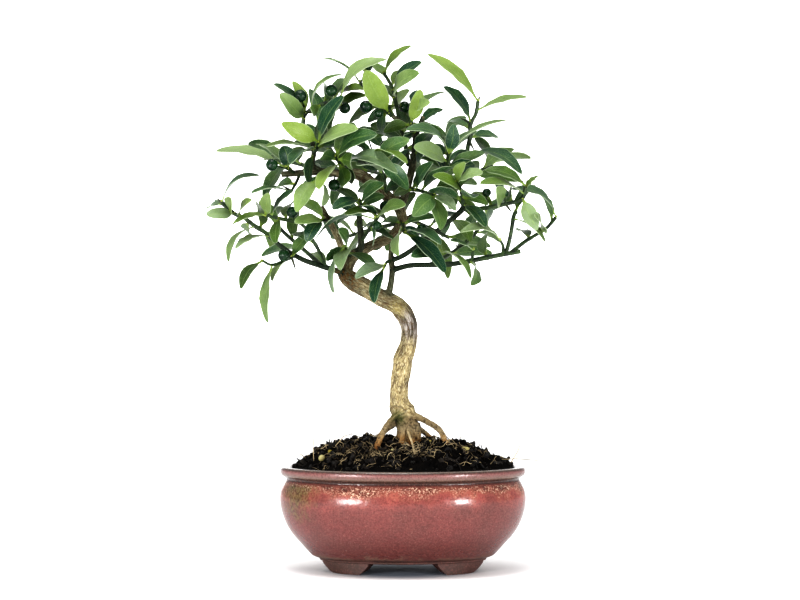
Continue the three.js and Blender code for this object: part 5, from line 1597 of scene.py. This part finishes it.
# %% Grow every shoot
SIZE_BEHIND, SIZE_BEFORE = (0.77, 0.88), (0.96, 1)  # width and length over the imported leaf's
CREASE = 50  # degrees
dice = random.Random(5)
for name, stems in SHOOTS.items():
    parts = []
    for index, (stem, line) in enumerate(zip(stems, stem_lines[name])):
        tube = stem_tube(f"{name}_stem_{index}", stem, line)
        tube.data.materials.append(green_stem)
        parts.append(tube)
        for share, x, z, depth in stem.thorns:
            base, tip = point_on(line, share), seen(x, z, depth)
            parts.append(copy_of(model_thorn, toward(base, tip, 1.3, np.linalg.norm(tip - base))))
    for leaf, (pose, _) in zip(leaves_of[name], poses_of[name]):
        slim, short = SIZE_BEHIND if leaf.tip[1] > 0 else SIZE_BEFORE
        pose = pose._replace(width=pose.width * slim, length=pose.length * short)
        parts.append(leaf_on(pose, leaf.tone, dice, dust_and_sheen_on(leaf)))
        bud_at = leaf.base + pose.normal * 0.9
        parts.append(copy_of(model_bud, toward(bud_at, bud_at + pose.normal + pose.along, 0.75, 1.0)))
    grown = one_piece(name.replace("shoot_", "leaves_"), parts)
    smoothed(grown, CREASE)
    hand_over(grown, "leaf", name)

# %% [markdown]
# The middle of the crown is crowded with small leaves that the shoots' list doesn't hold, dark with painted
# shade from their low tone. A few stand round the fruit at places of their own. Each of the others tries
# random places on the limbs and stems of the middle, and grows only where it keeps clear of every other
# leaf.

# %% Small leaves in the middle of the crown
INNER_COUNT = 64
CLEAR_GAP = 1.3
INNER_LOW, INNER_HIGH = np.array([-66, -34, 236]), np.array([44, 40, 350])
crowd = surface_of(*(name for name in frame["nodes"] if name.startswith(("shoot", "fruit", "trunk"))))
hosts = [spread_out(path) for path in LIMBS.values()]
for lines in stem_lines.values():
    hosts += lines
hosts = [np.array(line)[:, :3] for line in hosts]
# The places on a leaf that have to keep clear.
CHECK_SHARES = np.repeat([0.35, 0.5, 0.65, 0.8, 1.0], 3)
CHECK_ACROSS = np.tile([-0.9, 0, 0.9], 5)
CHECK_FULLNESS = np.repeat([0.8, 0.96, 0.9, 0.7, 0.1], 3)
inner, taken = [], []


def is_clear(spots):
    """Whether these places keep clear of every packed leaf and every inner one."""
    if min(crowd.find_nearest(Vector(spot))[3] for spot in placed(spots)) < CLEAR_GAP * MM:
        return False
    apart = np.linalg.norm(spots[:, None] - np.array(taken)[None], axis=2)
    return apart.min() > 2.2 * CLEAR_GAP


BY_THE_FRUIT = [  # leaves round the fruit: shoot, share of its stem, then x, z, depth, width, arch and tone
    ("shoot_crown_tip", 0.3, -40, 330, 12, 8, 0.1, 0.25),
    ("shoot_crown_tip", 0.55, -52, 338, 8, 7, 0.12, 0.3),
    ("shoot_crown_tip", 0.15, -14, 322, 16, 7, 0.15, 0.2),
    ("shoot_crown_tip", 0.7, -48, 352, 14, 6, 0.1, 0.5),
    ("shoot_right_dark", 0.35, 52, 280, -8, 6, 0.1, 0.5)]
for name, *reading in BY_THE_FRUIT:
    pose = frame_of(listed_leaf(stem_lines[name][0], *reading), 0, 0)
    taken += list(on_blade(pose, CHECK_SHARES, CHECK_FULLNESS, CHECK_ACROSS))
    inner.append(leaf_on(pose, reading[-1], dice))
while len(inner) < INNER_COUNT:
    line, share = dice.choice(hosts), dice.uniform(0.1, 0.95)
    base = point_on(line, share)
    if np.any(base < INNER_LOW) or np.any(base > INNER_HIGH):
        continue
    way = unit(np.array([dice.gauss(0, 1), dice.gauss(-0.25, 1), dice.gauss(0.1, 0.6)]))
    length = dice.uniform(19, 31)
    leaf = Leaf(base, base + way * length, 0.44 * length, dice.uniform(-1.2, -0.2),
                dice.uniform(0.05, 0.16), 0)
    pose = frame_of(leaf, 0, 0)
    spots = on_blade(pose, CHECK_SHARES, CHECK_FULLNESS, CHECK_ACROSS)
    if not is_clear(spots):
        continue
    taken += list(spots)
    # A low tone: these inner leaves are dark with painted shade.
    inner.append(leaf_on(pose, dice.uniform(0, 0.42), dice))
inner_leaves = one_piece("inner_leaves", inner)
smoothed(inner_leaves, CREASE)
hand_over(inner_leaves, "leaf")
set_aside(model_leaf, model_thorn, model_bud)

# %% [markdown]
# ## Fruit
# The fruit are still hard and dark green. Each is a small ball, slightly flat at the stalk, with a scar at
# the far end, and hangs by a short stalk from a five-pointed calyx. One is modelled upright at the size of
# one unit; the copies are turned to hang from their own twig.

# %% Where each fruit hangs
FRUITS = [  # its middle, its width, and where its stalk starts
    (-76, 351, -19, 9.5, -73, 343, -11),
    (-53, 355, -17, 9, -54, 347, -12),
    (-27, 373, 3, 9, -31, 361, -5),
    (-27.5, 343, -9, 9.5, -19, 347, -3),
    (-43, 342, -8, 8.5, -51, 348.5, -12),
    (-18, 338, -8, 7, -12, 340, 0),
    (1, 343, 12, 8.5, -5, 345, 7),
    (-97, 300, -26, 9, -84, 296.5, -9.5),
    (-27, 323, -25, 9.5, -20, 303.5, -18.5),
    (-12.5, 314, -18, 9, -17, 297, -12.5),
    (-51, 285, -8, 9, -50, 294, 0),
    (-88, 233, -19, 9, -86, 237, -10),
    (-82, 265, -24, 8.5, -81, 258, -16),
    (-19, 255, -26, 6.5, -20, 260, -17),
    (-13, 269, -2, 9, -11, 277, 8),
    (62, 279.5, -22, 6.5, 61, 268, -18),
    (75, 279, -18, 6.5, 76, 271, -22),
    (14, 252, -22, 8.5, 21, 248, -14),
]
print("fruits:", len(FRUITS))

# %% Model fruit
bpy.ops.mesh.primitive_uv_sphere_add(segments=24, ring_count=16, radius=1.0, location=(0, 0, 0))
model_fruit = bpy.context.object
ball = points_of(model_fruit.data)
dimple = 0.12 * np.exp(-((1 - ball[:, 2]) * 14)) - 0.05 * np.exp(-((1 + ball[:, 2]) * 30))
lobes = 1 + 0.012 * np.cos(np.arctan2(ball[:, 1], ball[:, 0]) * 9) * np.clip(ball[:, 2], 0, 1) ** 2
move_points(model_fruit.data, np.column_stack([ball[:, 0] * lobes, ball[:, 1] * lobes,
                                               (ball[:, 2] - dimple) * 0.97]))
smoothed(model_fruit)

fruit_skin = new_finish("unripe_fruit_skin")
place = millimetres()
pores = cells(place, 1.25)
skin_tone = mixed(ranged(grain(place, 0.2, 2), 0.35, 0.65), (0.003, 0.018, 0.008), (0.01, 0.045, 0.012))
skin_tone = mixed(ranged(pores, 0.18, 0.08, 0.0, 0.4), skin_tone, (0.04, 0.09, 0.025))
feed(shader, {"Base Color": skin_tone, "Roughness": 0.24, "Specular IOR Level": 0.4})
bumped(pores, 0.0003, 0.5)
calyx_skin = mottled_finish("calyx_skin", (0.1, 0.16, 0.03), (0.24, 0.3, 0.07), 0.5, 0.3, SKIN_RELIEF)
model_fruit.data.materials.append(fruit_skin)

bpy.ops.mesh.primitive_circle_add(vertices=10, radius=1.0, fill_type="NGON", location=(0, 0, 0))
model_calyx = bpy.context.object
star = points_of(model_calyx.data)
reach = np.where(np.arange(len(star)) % 2 == 0, 1.0, 0.6)
move_points(model_calyx.data, star * reach[:, None])
edit_all()
step_up(0.35, 0.8, 0.8)
step_up(0.3, 0.45, 0.45)
face_out()
model_calyx.data.materials.append(calyx_skin)
print("fruit:", len(model_fruit.data.polygons), "faces, calyx:", len(model_calyx.data.polygons), "faces")

# %% Hang the fruit
for index, (x, z, depth, diameter, *source) in enumerate(FRUITS, start=1):
    middle, start = seen(x, z, depth), seen(*source)
    radius = diameter / 2
    ball = copy_of(model_fruit, toward(middle, start, radius, radius))
    crown = middle + unit(start - middle) * radius * 0.93
    cap = copy_of(model_calyx, toward(crown, start, min(1.9, 0.42 * radius), 0.9))
    sway = unit(np.cross(start - crown, VIEW)) * 0.25 * dice.uniform(-1, 1)
    bend = (crown + start) / 2 + sway
    stalk = drawn_curve("stalk",
                        placed([crown, (crown + bend) / 2 + sway / 4, bend, (bend + start) / 2, start]),
                        [0.75, 0.6, 0.58, 0.6, 0.7], sides=1)
    stalk.data.materials.append(green_stem)
    fruit = one_piece(f"unripe_fruit_{index:02d}", [ball, cap, stalk])
    smoothed(fruit, CREASE)
    hand_over(fruit, "unripe_fruit", f"fruit_{index:02d}")
set_aside(model_fruit, model_calyx)
